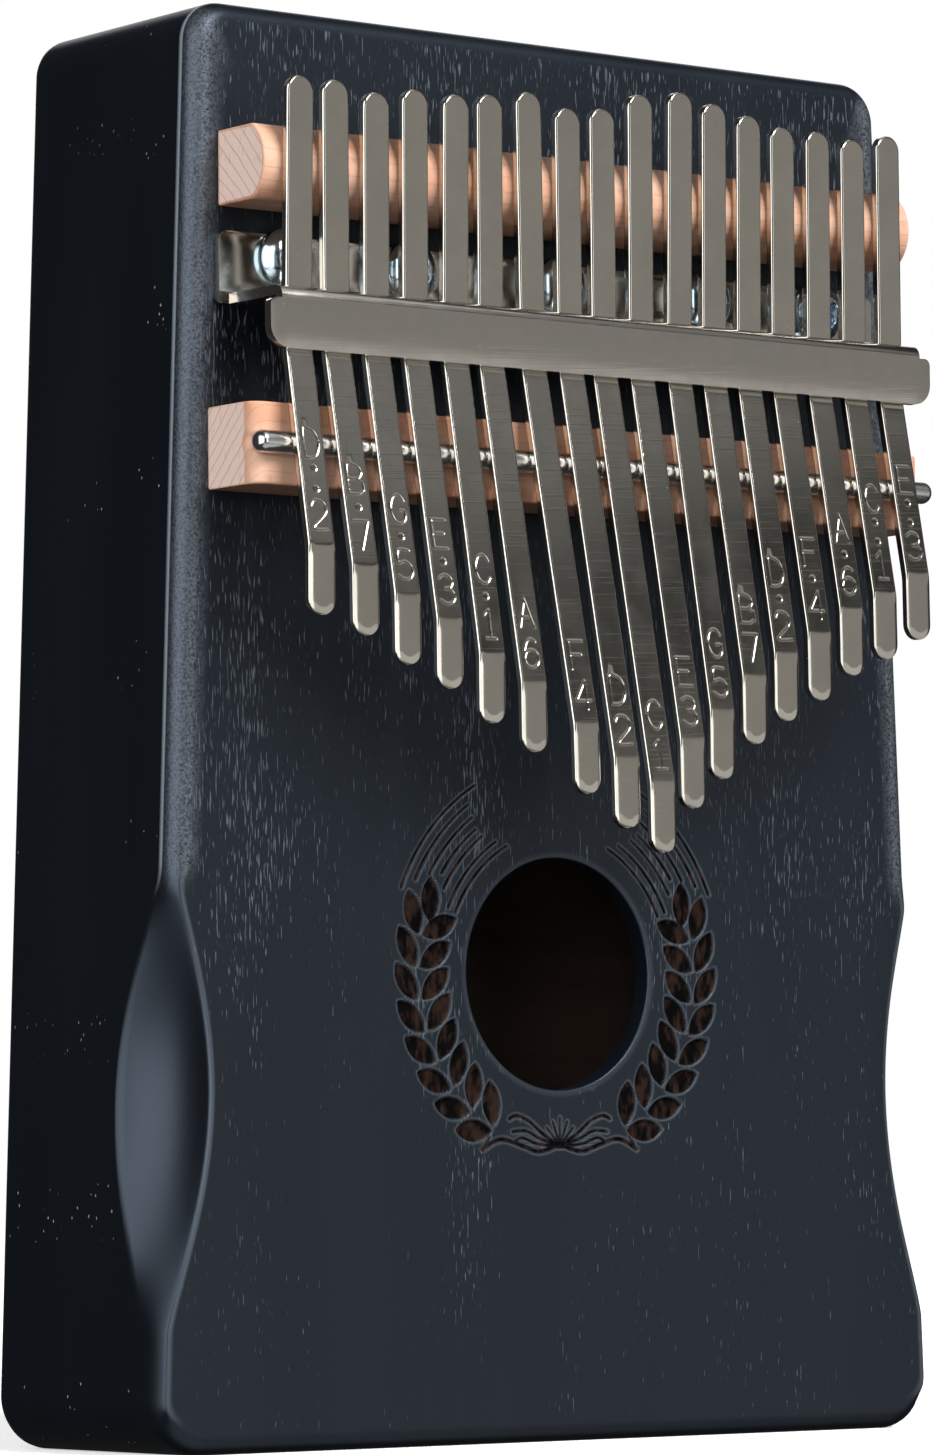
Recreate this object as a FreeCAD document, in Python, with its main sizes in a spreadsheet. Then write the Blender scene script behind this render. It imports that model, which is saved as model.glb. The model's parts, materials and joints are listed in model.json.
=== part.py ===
import FreeCAD, Part
import math
import os

import Sketcher

# Box kalimba with seventeen tines, standing on its bottom end.
# Millimetres. +X to the player's right as seen from the tine side, +Y towards the back board,
# +Z from the bottom end to the top end. The origin is the centre of the bottom end's face.

DOC = FreeCAD.newDocument("box_kalimba")
SHEET = DOC.addObject("Spreadsheet::Sheet", "sizes")
VECTOR = FreeCAD.Vector

# Driving dimensions: alias, value, what it is.
DIMENSIONS = (
    ("body_height", 185.0, "length of the box"),
    ("body_depth", 37.6, "thickness of the box, boards included"),
    ("bottom_margin", 12.6, "box beyond the row of tines at its bottom end, each side"),
    ("top_margin", 5.9, "box beyond the row of tines at its top end, each side"),
    ("top_corner", 5.5, "radius of the two top corners"),
    ("bottom_corner", 7.0, "radius of the two bottom corners"),
    ("board_thickness", 3.2, "soundboard"),
    ("back_thickness", 3.0, "back board"),
    ("front_round", 2.5, "rounding along the soundboard's outer edge"),
    ("back_round", 2.5, "rounding along the back board's outer edge"),
    ("side_wall", 9.0, "thickness of the rim's sides"),
    ("end_wall", 9.0, "thickness of the rim's ends"),
    ("hole_radius", 15.2, "sound hole"),
    ("hole_height", 61.2, "centre of the sound hole above the bottom end"),
    ("scoop_height", 46.5, "middle of the thumb scoops' bowls above the bottom end"),
    ("scoop_depth", 6.4, "how far a scoop cuts into the side"),
    ("scoop_reach", 12.0, "how far a scoop runs back from the front"),
    ("scoop_half_length", 27.0, "half a scoop's length along the side"),
    ("rear_bar_drop", 21.8, "middle of the rear bar below the top end"),
    ("rear_bar_overhang", 2.4, "rear bar beyond the row of tines, each side"),
    ("rear_bar_width", 9.7, "rear bar, along the box"),
    ("rear_bar_shoulder", 7.6, "rear bar, from the soundboard to where its arch starts"),
    ("rear_bar_rise", 10.3, "rear bar, from the soundboard to the top of its arch"),
    ("front_bar_drop", 57.9, "middle of the front bar below the top end"),
    ("front_bar_overhang", 4.1, "front bar beyond the row of tines, each side"),
    ("front_bar_width", 10.5, "front bar, along the box"),
    ("front_bar_rise", 10.0, "front bar, from the soundboard to its face"),
    ("front_bar_corner", 2.0, "rounding of the front bar's face at its two ends"),
    ("rod_radius", 1.5, "bridge rod"),
    ("rod_overhang", 4.6, "bridge rod beyond the row of tines, each side"),
    ("rod_bedding", 0.65, "how deep the rod lies in the front bar"),
    ("sheet_thickness", 1.3, "bracket's steel sheet"),
    ("sheet_bend", 1.6, "outer radius of the bracket's bends"),
    ("bracket_drop", 38.0, "outer face of the bracket's standing leg below the top end"),
    ("bracket_rise", 12.9, "bracket, from the soundboard to the lip's face"),
    ("base_leg_width", 8.6, "bracket's base leg, along the box"),
    ("base_leg_overhang", 3.1, "bracket's base leg beyond the row of tines, each side"),
    ("lip_overhang", 3.4, "bracket's lip beyond the row of tines, each side"),
    ("lip_width", 8.1, "bracket's lip, along the box"),
    ("lip_corner", 2.8, "rounding of the lip's lower corners"),
    ("slot_web", 1.03, "steel left between two slots of the standing leg"),
    ("slot_depth", 3.2, "slots, from the lip's inner face towards the soundboard"),
    ("screw_inner_steps", 4.0, "inner screws, in tine pitches from the middle"),
    ("screw_outer_steps", 7.2, "outer screws, in tine pitches from the middle"),
    ("screw_head_radius", 4.0, "pan head"),
    ("screw_head_rise", 2.6, "pan head above the bracket"),
    ("screw_shank_radius", 1.7, "screw shank"),
    ("screw_hole_radius", 2.1, "clearance holes in the bracket"),
    ("screw_length", 12.0, "screw, from under its head to its point"),
    ("screw_point", 3.0, "tapered end of the screw"),
    ("recess_width", 0.9, "arms of the cross recess"),
    ("recess_span", 4.2, "cross recess, end to end"),
    ("recess_depth", 1.5, "cross recess"),
    ("block_margin", 4.1, "screw block inside the box, beyond its outer screws"),
    ("block_width", 14.0, "screw block, along the box"),
    ("block_thickness", 10.0, "screw block, behind the soundboard"),
    ("tine_pitch", 6.23, "from one tine to the next"),
    ("tine_width", 4.1, "tine"),
    ("tine_thickness", 1.3, "tine"),
    ("tine_pad", 8.4, "flat playing end of a tine"),
    ("tine_pad_bend", 7.0, "bend radius above the playing end"),
    ("tine_press_bend", 25.0, "bend radius where the lip presses a tine"),
    ("tine_press_lean", 8.0, "lean of a tine at the lip's lower edge, in degrees"),
    ("tine_gap", 0.03, "clearance between a tine and what it rests on"),
    ("hinge_gap", 0.1, "gap between a tine's held part and its free part"),
    ("longest_free", 51.3, "free length of the lowest tine, past the rod"),
    ("end_correction", 3.3, "part of the sounding length that lies behind the rod"),
    ("tine_top_drop", 11.0, "upper end of a tine below the top end, before tuning"),
)

TINES = 17

# Each tine, left to right: semitones above the lowest one, how far its upper end was pushed up
# in tuning, how far it is set sideways off its even place, and its lean in degrees.
TINE_SET = (
    (26, 0.0, 0.0, 0.3),
    (23, 0.0, 0.0, -0.6),
    (19, -1.0, 0.0, -0.3),
    (16, 0.0, 0.0, -0.3),
    (12, 0.0, 0.1, 0.1),
    (9, 0.5, -0.2, -0.5),
    (5, 1.5, 0.7, -1.4),
    (2, 0.0, 0.6, -1.0),
    (0, 0.5, 0.0, -0.8),
    (4, 3.0, 0.0, -0.5),
    (7, 4.0, 0.0, 0.3),
    (11, 3.0, -0.1, -0.1),
    (14, 2.0, -0.3, -0.1),
    (17, 1.0, -0.35, -0.5),
    (21, 1.0, -0.3, -0.5),
    (24, 0.5, -0.2, -0.7),
    (28, 1.5, 0.0, -0.8),
)


class Size:
    """A size worked out from the sheet: its number now, and the formula that keeps it true."""

    def __init__(self, value, formula):
        self.value = float(value)
        self.formula = formula

    def joined(self, sign, other, value):
        """The size of this one and another joined by a sign."""
        formula = other.formula if isinstance(other, Size) else repr(float(other))
        return Size(value, "(%s %s %s)" % (self.formula, sign, formula))

    def __add__(self, other):
        return self.joined("+", other, self.value + number(other))

    def __sub__(self, other):
        return self.joined("-", other, self.value - number(other))

    def __mul__(self, other):
        return self.joined("*", other, self.value * number(other))

    def __truediv__(self, other):
        return self.joined("/", other, self.value / number(other))

    def __neg__(self):
        return self * -1


def number(size):
    """The plain number of a Size or a number."""
    return size.value if isinstance(size, Size) else float(size)


def fill_sheet():
    """Write the driving dimensions to the sheet, one alias a row, and return them as sizes."""
    sizes = {}
    for row, (alias, value, meaning) in enumerate(DIMENSIONS, start=1):
        SHEET.set("A%d" % row, meaning)
        SHEET.set("B%d" % row, "%g" % value)
        SHEET.setAlias("B%d" % row, alias)
        sizes[alias] = Size(value, "sizes." + alias)
    DOC.recompute()
    return sizes


SIZES = fill_sheet()
NODES = []


def size(alias):
    """The size with this alias."""
    return SIZES[alias]


def bind(thing, **properties):
    """Tie an object's properties to sizes; a double underscore stands for a dot."""
    for name, value in properties.items():
        path = name.replace("__", ".")
        if isinstance(value, Size):
            thing.setExpression(path, value.formula)
        else:
            thing.setExpression(path, repr(float(value)))


def node(thing, label):
    """Name a finished piece, so that it is written under that name."""
    thing.Label = label
    NODES.append(thing)
    return thing


def new_body(name):
    """An empty PartDesign body."""
    return DOC.addObject("PartDesign::Body", name)


def new_sketch(body, name, role, offset=0.0):
    """A sketch on one of the body's origin planes, moved off it by an offset along its normal."""
    sketch = body.newObject("Sketcher::SketchObject", name)
    plane = next(item for item in body.Origin.OriginFeatures if item.Role == role)
    sketch.AttachmentSupport = [(plane, "")]
    sketch.MapMode = "FlatFace"
    bind(sketch, AttachmentOffset__Base__z=offset)
    return sketch


def pin_point(sketch, geometry, end, across, up):
    """Hold one end of a sketch line at a place measured from the sketch's origin."""
    for kind, place in (("DistanceX", across), ("DistanceY", up)):
        index = sketch.addConstraint(Sketcher.Constraint(kind, -1, 1, geometry, end, number(place)))
        if isinstance(place, Size):
            sketch.setExpression("Constraints[%d]" % index, place.formula)


def draw_polygon(sketch, points):
    """A closed polygon through the points, each held by its own two dimensions."""
    first = sketch.GeometryCount
    count = len(points)
    for index, (across, up) in enumerate(points):
        next_across, next_up = points[(index + 1) % count]
        start = VECTOR(number(across), number(up), 0)
        end = VECTOR(number(next_across), number(next_up), 0)
        sketch.addGeometry(Part.LineSegment(start, end), False)
    for index in range(count):
        following = first + (index + 1) % count
        sketch.addConstraint(Sketcher.Constraint("Coincident", first + index, 2, following, 1))
    for index, (across, up) in enumerate(points):
        pin_point(sketch, first + index, 1, across, up)


def draw_circle(sketch, across, up, radius):
    """A circle held by its centre and radius."""
    centre = VECTOR(number(across), number(up), 0)
    index = sketch.addGeometry(Part.Circle(centre, VECTOR(0, 0, 1), number(radius)), False)
    pin_point(sketch, index, 3, across, up)
    held = sketch.addConstraint(Sketcher.Constraint("Radius", index, number(radius)))
    sketch.setExpression("Constraints[%d]" % held, radius.formula)


def rectangle(left, right, bottom, top):
    """The four corners of an upright rectangle."""
    return ((left, bottom), (right, bottom), (right, top), (left, top))


def pad(body, sketch, length, middle=False, reverse=False):
    """Pad a sketch by a length, to one side or about its plane."""
    feature = body.newObject("PartDesign::Pad", sketch.Name + "_pad")
    feature.Profile = sketch
    feature.Midplane = middle
    feature.Reversed = reverse
    bind(feature, Length=length)
    DOC.recompute()
    return feature


def pocket(body, sketch, length, middle=False, reverse=False):
    """Pocket a sketch, and make sure that it took material away."""
    before = body.Tip.Shape.Volume
    feature = body.newObject("PartDesign::Pocket", sketch.Name + "_pocket")
    feature.Profile = sketch
    feature.Midplane = middle
    feature.Reversed = reverse
    bind(feature, Length=length)
    DOC.recompute()
    if feature.Shape.Volume >= before:
        raise RuntimeError("the pocket %s cut nothing" % feature.Name)
    return feature


def edge_names(shape, wanted):
    """The names of the shape's edges that a test picks out."""
    return ["Edge%d" % (index + 1) for index, edge in enumerate(shape.Edges) if wanted(edge)]


def fillet(body, name, radius, wanted):
    """Round the edges of the body's last feature that a test picks out."""
    base = body.Tip
    feature = body.newObject("PartDesign::Fillet", name)
    feature.Base = (base, edge_names(base.Shape, wanted))
    bind(feature, Radius=radius)
    DOC.recompute()
    return feature


def cut(base, tool, name):
    """One shape less another."""
    feature = DOC.addObject("Part::Cut", name)
    feature.Base = base
    feature.Tool = tool
    DOC.recompute()
    return feature


def common(base, tool, name):
    """What two shapes share."""
    feature = DOC.addObject("Part::Common", name)
    feature.Base = base
    feature.Tool = tool
    DOC.recompute()
    return feature


def runs_along(edge, axis):
    """Whether a straight edge runs along an axis."""
    if not isinstance(edge.Curve, Part.Line):
        return False
    along = edge.tangentAt(edge.FirstParameter)
    return abs(abs(along.dot(axis)) - 1) < 1e-6


def lies_at(edge, axis, place):
    """Whether all of an edge lies at one place along an axis."""
    if edge.Length < 1e-6:
        return False
    points = [vertex.Point for vertex in edge.Vertexes] + [edge.CenterOfMass]
    return all(abs(point.dot(axis) - place) < 1e-4 for point in points)


X_AXIS = VECTOR(1, 0, 0)
Y_AXIS = VECTOR(0, 1, 0)
Z_AXIS = VECTOR(0, 0, 1)

# Places that several pieces share.
FRONT = size("body_depth") * -0.5
BACK = size("body_depth") * 0.5
BOARD_BACK = FRONT + size("board_thickness")
RIM_BACK = BACK - size("back_thickness")
HEIGHT = size("body_height")
HALF_ROW = size("tine_pitch") * (TINES // 2) + size("tine_width") / 2
HALF_BOTTOM = HALF_ROW + size("bottom_margin")
HALF_TOP = HALF_ROW + size("top_margin")
REAR_BAR_HEIGHT = HEIGHT - size("rear_bar_drop")
STAND_TOP = HEIGHT - size("bracket_drop")
FRONT_BAR_HEIGHT = HEIGHT - size("front_bar_drop")
SCREW_INNER = size("tine_pitch") * size("screw_inner_steps")
SCREW_OUTER = size("tine_pitch") * size("screw_outer_steps")


def row_length(overhang):
    """The length of a piece that runs past the row of tines by an overhang at each end."""
    return (HALF_ROW + size(overhang)) * 2


def half_width(height):
    """Half the box's width at a height above its bottom end."""
    return HALF_BOTTOM + (HALF_TOP - HALF_BOTTOM) * height / HEIGHT


def outline_body(name, near, far, rounded_face=None, rounding=None):
    """The box's tapered outline as a slab from one depth to another, its corners rounded."""
    body = new_body(name)
    sketch = new_sketch(body, name + "_outline", "XZ_Plane", -far)
    corners = ((-HALF_BOTTOM, 0.0), (HALF_BOTTOM, 0.0), (HALF_TOP, HEIGHT), (-HALF_TOP, HEIGHT))
    draw_polygon(sketch, corners)
    pad(body, sketch, far - near)
    middle = number(HEIGHT) / 2
    for end, radius in (("top", size("top_corner")), ("bottom", size("bottom_corner"))):
        above = end == "top"
        fillet(body, "%s_%s_corners" % (name, end), radius,
               lambda edge: runs_along(edge, Y_AXIS)
               and (edge.CenterOfMass.z > middle) == above
               and len(edge.Vertexes) == 2
               and is_sharp_corner(edge))
    if rounded_face is not None:
        fillet(body, name + "_edge_round", rounding,
               lambda edge: lies_at(edge, Y_AXIS, number(rounded_face)))
    return body


def is_sharp_corner(edge):
    """Whether an edge is one of the outline's four unrounded corners."""
    height = edge.CenterOfMass.z
    on_end = min(abs(height), abs(height - number(HEIGHT))) < 1e-6
    reach = number(half_width(height))
    return on_end and abs(abs(edge.CenterOfMass.x) - reach) < 1e-6


def scoop_cutter(side):
    """The bowl that hollows one side for a thumb: an ellipsoid centred outside the box."""
    width_there = half_width(size("scoop_height"))
    # the share of an ellipsoid's radius that lies outside the side, and what that leaves at the side
    outside = 0.72
    at_side = math.sqrt(1 - outside * outside)
    across = size("scoop_depth") / (1 - outside)
    bowl = DOC.addObject("Part::Ellipsoid", "scoop_%s" % ("left" if side < 0 else "right"))
    bowl.Angle1 = -90
    bowl.Angle2 = 90
    bind(bowl,
         Radius1=size("scoop_half_length") / at_side,
         Radius2=across,
         Radius3=size("scoop_reach") / at_side,
         Placement__Base__x=(width_there + across * outside) * side,
         Placement__Base__y=FRONT,
         Placement__Base__z=size("scoop_height"))
    DOC.recompute()
    return bowl


def screw_places():
    """Where the five screws stand, from the middle of the box."""
    return (-SCREW_OUTER, -SCREW_INNER, SCREW_INNER * 0, SCREW_INNER, SCREW_OUTER)


def screw_height():
    """How far the screws stand above the bottom end: the middle of the base leg's flat."""
    return STAND_TOP + size("base_leg_width") / 2 + size("sheet_bend") / 2


def screw_holes(body, name, start, length, radius):
    """Five round holes running back from a depth."""
    sketch = new_sketch(body, name, "XZ_Plane", -start)
    for place in screw_places():
        draw_circle(sketch, place, screw_height(), radius)
    return pocket(body, sketch, length)


def build_soundboard(bowls):
    """The front board, with its sound hole, scooped edges and screw holes."""
    body = outline_body("board", FRONT, BOARD_BACK, FRONT, size("front_round"))
    hole = new_sketch(body, "sound_hole", "XZ_Plane", -FRONT)
    draw_circle(hole, size("hole_radius") * 0, size("hole_height"), size("hole_radius"))
    pocket(body, hole, size("board_thickness"))
    screw_holes(body, "board_screw_holes", FRONT, size("board_thickness"), size("screw_shank_radius"))
    half_cut = cut(body, bowls[0], "board_left_cut")
    node(cut(half_cut, bowls[1], "board_cut"), "soundboard")


def build_back():
    """The back board."""
    node(outline_body("back", RIM_BACK, BACK, BACK, size("back_round")), "back_board")


def inner_half_width(height):
    """Half the width of the hollow inside the rim."""
    return half_width(height) - size("side_wall")


def build_rim(bowls):
    """The rim's two sides and two ends, between the boards."""
    blank = outline_body("rim", BOARD_BACK, RIM_BACK)
    depth = RIM_BACK - BOARD_BACK
    zero = HEIGHT * 0
    for side, bowl, label in ((-1, bowls[0], "left_side"), (1, bowls[1], "right_side")):
        strip = new_body(label + "_strip")
        sketch = new_sketch(strip, label + "_plan", "XZ_Plane", -RIM_BACK)
        draw_polygon(sketch, ((half_width(zero) * side, zero), (half_width(HEIGHT) * side, HEIGHT),
                              (inner_half_width(HEIGHT) * side, HEIGHT),
                              (inner_half_width(zero) * side, zero)))
        pad(strip, sketch, depth)
        rail = common(blank, strip, label + "_rail")
        node(cut(rail, bowl, label + "_scooped"), label)
    ends = (("bottom_end", zero, size("end_wall")), ("top_end", HEIGHT - size("end_wall"), HEIGHT))
    for label, low, high in ends:
        body = new_body(label)
        sketch = new_sketch(body, label + "_plan", "XZ_Plane", -RIM_BACK)
        draw_polygon(sketch, ((-inner_half_width(low), low), (inner_half_width(low), low),
                              (inner_half_width(high), high), (-inner_half_width(high), high)))
        pad(body, sketch, depth)
        node(body, label)


def build_screw_block():
    """The block inside the box that the bracket's screws bite into."""
    body = new_body("block")
    sketch = new_sketch(body, "block_plan", "XZ_Plane", -(BOARD_BACK + size("block_thickness")))
    half_length = SCREW_OUTER + size("block_margin")
    half_block = size("block_width") / 2
    draw_polygon(sketch, rectangle(-half_length, half_length,
                                   screw_height() - half_block, screw_height() + half_block))
    pad(body, sketch, size("block_thickness"))
    depth = size("screw_length") - size("sheet_thickness") - size("board_thickness")
    screw_holes(body, "block_screw_holes", BOARD_BACK, depth, size("screw_shank_radius"))
    node(body, "screw_block")


def rear_arch():
    """The rear bar's arch as its radius and how far its centre stands from the soundboard."""
    half_bar = number(size("rear_bar_width")) / 2
    sagitta = number(size("rear_bar_rise")) - number(size("rear_bar_shoulder"))
    radius = (half_bar * half_bar + sagitta * sagitta) / (2 * sagitta)
    return radius, number(size("rear_bar_rise")) - radius


def build_rear_bar():
    """The arched bar under the tines' upper ends."""
    body = new_body("rear")
    sketch = new_sketch(body, "rear_bar_section", "YZ_Plane")
    low = REAR_BAR_HEIGHT - size("rear_bar_width") / 2
    high = REAR_BAR_HEIGHT + size("rear_bar_width") / 2
    shoulder = FRONT - size("rear_bar_shoulder")
    crest = FRONT - size("rear_bar_rise")
    corners = ((shoulder, high), (FRONT, high), (FRONT, low), (shoulder, low))
    for start, end in zip(corners, corners[1:]):
        sketch.addGeometry(Part.LineSegment(flat(start), flat(end)), False)
    top = (crest, REAR_BAR_HEIGHT)
    arc = sketch.addGeometry(Part.Arc(flat(corners[3]), flat(top), flat(corners[0])), False)
    for index, place in enumerate(corners[:3]):
        pin_point(sketch, index, 1, *place)
    pin_point(sketch, 2, 2, *corners[3])
    for index in (0, 1):
        sketch.addConstraint(Sketcher.Constraint("Coincident", index, 2, index + 1, 1))
    close_with_arc(sketch, arc, corners[3], 2)
    crest_point = sketch.addGeometry(Part.Point(flat(top)), True)
    sketch.addConstraint(Sketcher.Constraint("PointOnObject", crest_point, 1, arc))
    pin_point(sketch, crest_point, 1, *top)
    pad(body, sketch, row_length("rear_bar_overhang"), middle=True)
    node(body, "rear_bar")


def close_with_arc(sketch, arc, corner, last_line):
    """Join an arc's two ends to the last line's end and the first line's start."""
    start = sketch.getPoint(arc, 1)
    start_is_corner = start.distanceToPoint(flat(corner)) < 1e-6
    first_end, second_end = (1, 2) if start_is_corner else (2, 1)
    sketch.addConstraint(Sketcher.Constraint("Coincident", last_line, 2, arc, first_end))
    sketch.addConstraint(Sketcher.Constraint("Coincident", arc, second_end, 0, 1))


def flat(place):
    """A sketch point from two sizes."""
    return VECTOR(number(place[0]), number(place[1]), 0)


ROD_DEPTH = FRONT - size("front_bar_rise") - size("rod_radius") + size("rod_bedding")


def build_front_bar():
    """The bar that carries the rod, with its round groove and eased ends."""
    body = new_body("front")
    sketch = new_sketch(body, "front_bar_section", "YZ_Plane")
    low = FRONT_BAR_HEIGHT - size("front_bar_width") / 2
    high = FRONT_BAR_HEIGHT + size("front_bar_width") / 2
    face = FRONT - size("front_bar_rise")
    draw_polygon(sketch, rectangle(face, FRONT, low, high))
    pad(body, sketch, row_length("front_bar_overhang"), middle=True)
    fillet(body, "front_bar_ends", size("front_bar_corner"),
           lambda edge: runs_along(edge, Z_AXIS) and abs(edge.CenterOfMass.y - number(face)) < 1e-6)
    groove = new_sketch(body, "rod_groove", "YZ_Plane")
    draw_circle(groove, ROD_DEPTH, FRONT_BAR_HEIGHT, size("rod_radius"))
    pocket(body, groove, row_length("front_bar_overhang"), middle=True)
    node(body, "front_bar")


def build_rod():
    """The bridge rod, its ends domed."""
    body = new_body("bridge")
    sketch = new_sketch(body, "rod_section", "YZ_Plane")
    draw_circle(sketch, ROD_DEPTH, FRONT_BAR_HEIGHT, size("rod_radius"))
    pad(body, sketch, row_length("rod_overhang"), middle=True)
    half_rod = number(row_length("rod_overhang")) / 2
    fillet(body, "rod_domes", size("rod_radius") * 0.85,
           lambda edge: abs(abs(edge.CenterOfMass.x) - half_rod) < 1e-6)
    node(body, "rod")


LIP_FACE = FRONT - size("bracket_rise")
LIP_BACK = LIP_FACE + size("sheet_thickness")
STAND_BOTTOM = STAND_TOP - size("sheet_thickness")
LIP_LOW = STAND_TOP - size("lip_width")
LIP_STEP = 0.78


def build_bracket():
    """The Z-bent strip: base leg on the soundboard, slotted standing leg, pressing lip."""
    body = new_body("strip")
    sketch = new_sketch(body, "bracket_section", "YZ_Plane")
    base_top = STAND_BOTTOM + size("base_leg_width") + size("sheet_bend") / 2
    leg_face = FRONT - size("sheet_thickness")
    draw_polygon(sketch, ((FRONT, STAND_BOTTOM), (FRONT, base_top), (leg_face, base_top),
                          (leg_face, STAND_TOP), (LIP_FACE, STAND_TOP), (LIP_FACE, LIP_LOW),
                          (LIP_BACK, LIP_LOW), (LIP_BACK, STAND_BOTTOM)))
    pad(body, sketch, row_length("lip_overhang"), middle=True)
    bend_corners(body)
    half_base = row_length("base_leg_overhang") / 2
    trim_leg(body, "base_leg_trim", half_base, LIP_BACK, FRONT, base_top)
    half_stand = size("tine_pitch") * (TINES / 2) + size("slot_web") / 2
    trim_leg(body, "standing_leg_trim", half_stand, LIP_FACE, leg_face, STAND_TOP)
    round_legs(body, base_top)
    cut_slots(body)
    screw_holes(body, "bracket_screw_holes", leg_face, size("sheet_thickness"), size("screw_hole_radius"))
    node(body, "bracket")


def bend_corners(body):
    """Round the strip's two bends, inside and outside."""
    outer = ((number(FRONT), number(STAND_BOTTOM)), (number(LIP_FACE), number(STAND_TOP)))
    inner = ((number(FRONT - size("sheet_thickness")), number(STAND_TOP)),
             (number(LIP_BACK), number(STAND_BOTTOM)))
    inner_radius = size("sheet_bend") - size("sheet_thickness")
    for name, places, radius in (("outer", outer, size("sheet_bend")), ("inner", inner, inner_radius)):
        fillet(body, "bracket_%s_bends" % name, radius,
               lambda edge: runs_along(edge, X_AXIS) and near_any(edge, places))


def near_any(edge, places):
    """Whether an edge along X passes through one of the places in depth and height."""
    middle = edge.CenterOfMass
    return any(abs(middle.y - depth) + abs(middle.z - height) < 1e-4 for depth, height in places)


def trim_leg(body, name, half_length, near, far, top):
    """Shorten one leg of the bracket at both ends."""
    sketch = new_sketch(body, name, "XY_Plane", top)
    outside = row_length("lip_overhang") / 2 + 1
    for side in (-1, 1):
        inner_edge = half_length * side
        outer_edge = outside * side
        draw_polygon(sketch, ((inner_edge, near), (outer_edge, near), (outer_edge, far), (inner_edge, far)))
    floor = STAND_BOTTOM if name.startswith("base") else LIP_LOW + size("lip_width") * LIP_STEP
    pocket(body, sketch, top - floor)


def round_legs(body, base_top):
    """Round the lip's lower and step corners and the base leg's upper corners."""
    fillet(body, "lip_corners", size("lip_corner"),
           lambda edge: runs_along(edge, Y_AXIS) and abs(edge.CenterOfMass.z - number(LIP_LOW)) < 1e-4)
    step_height = LIP_LOW + size("lip_width") * LIP_STEP
    fillet(body, "lip_step_corners", size("lip_corner") / 3,
           lambda edge: runs_along(edge, Y_AXIS) and abs(edge.CenterOfMass.z - number(step_height)) < 1e-4
           and abs(edge.CenterOfMass.x) > number(row_length("lip_overhang")) / 2 - 1e-4)
    fillet(body, "base_leg_corners", size("lip_corner") / 2,
           lambda edge: runs_along(edge, Y_AXIS) and abs(edge.CenterOfMass.z - number(base_top)) < 1e-4)


def cut_slots(body):
    """One slot in the standing leg for each tine."""
    sketch = new_sketch(body, "tine_slots", "XY_Plane", STAND_TOP)
    half_slot = (size("tine_pitch") - size("slot_web")) / 2
    for index in range(TINES):
        middle = size("tine_pitch") * (index - TINES // 2)
        draw_polygon(sketch, rectangle(middle - half_slot, middle + half_slot,
                                       LIP_BACK, LIP_BACK + size("slot_depth")))
    pocket(body, sketch, size("sheet_bend"))


def build_screws():
    """Five pan-head screws, one node of separate solids."""
    body = new_body("screw")
    sketch = new_sketch(body, "screw_section", "YZ_Plane")
    seat = FRONT - size("sheet_thickness")
    head_top = seat - size("screw_head_rise")
    point = seat + size("screw_length")
    shank = size("screw_shank_radius")
    axis = size("screw_length") * 0
    draw_polygon(sketch, ((head_top, axis), (point, axis), (point - size("screw_point"), shank),
                          (seat, shank), (seat, size("screw_head_radius")),
                          (head_top, size("screw_head_radius") * 0.8)))
    turned = body.newObject("PartDesign::Revolution", "screw_turned")
    turned.Profile = sketch
    turned.ReferenceAxis = (sketch, ["H_Axis"])
    turned.Angle = 360
    DOC.recompute()
    fillet(body, "pan_head", size("screw_head_rise") * 0.45,
           lambda edge: lies_at(edge, Y_AXIS, number(head_top)) and isinstance(edge.Curve, Part.Circle))
    recess = new_sketch(body, "cross_recess", "XZ_Plane", -head_top)
    arm = size("recess_width") / 2
    reach = size("recess_span") / 2
    draw_polygon(recess, ((-reach, -arm), (-arm, -arm), (-arm, -reach), (arm, -reach), (arm, -arm),
                          (reach, -arm), (reach, arm), (arm, arm), (arm, reach), (-arm, reach),
                          (-arm, arm), (-reach, arm)))
    pocket(body, recess, size("recess_depth"))
    height = number(screw_height())
    copies = [body.Shape.translated(VECTOR(number(place), 0, height)) for place in screw_places()]
    screws = DOC.addObject("Part::Feature", "screws")
    screws.Shape = Part.makeCompound(copies)
    node(screws, "bracket_screws")


class Run:
    """A straight line in depth and height, leaning off the box's length by an angle."""

    def __init__(self, angle):
        self.angle = angle
        self.along = (math.sin(angle), math.cos(angle))
        self.front = (-math.cos(angle), math.sin(angle))


def leaning_run(rest, rest_radius, press, press_radius):
    """The line in front of one circle and behind another, touching both.

    A line that leans by an angle passes in front of the resting circle at its radius and behind the
    pressing circle at that one's radius, so the centres' offset along its normal is their sum.
    """
    depth = press[0] - rest[0]
    height = press[1] - rest[1]
    span = math.hypot(depth, height)
    phase = math.atan2(height, -depth)
    spread = math.acos((rest_radius + press_radius) / span)
    return Run(min((phase - spread, phase + spread), key=abs))


def moved(place, way, distance):
    """A place moved some distance along a way."""
    return (place[0] + way[0] * distance, place[1] + way[1] * distance)


def space(place):
    """A point in the box's middle plane from a depth and a height."""
    return VECTOR(0, place[0], place[1])


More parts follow.
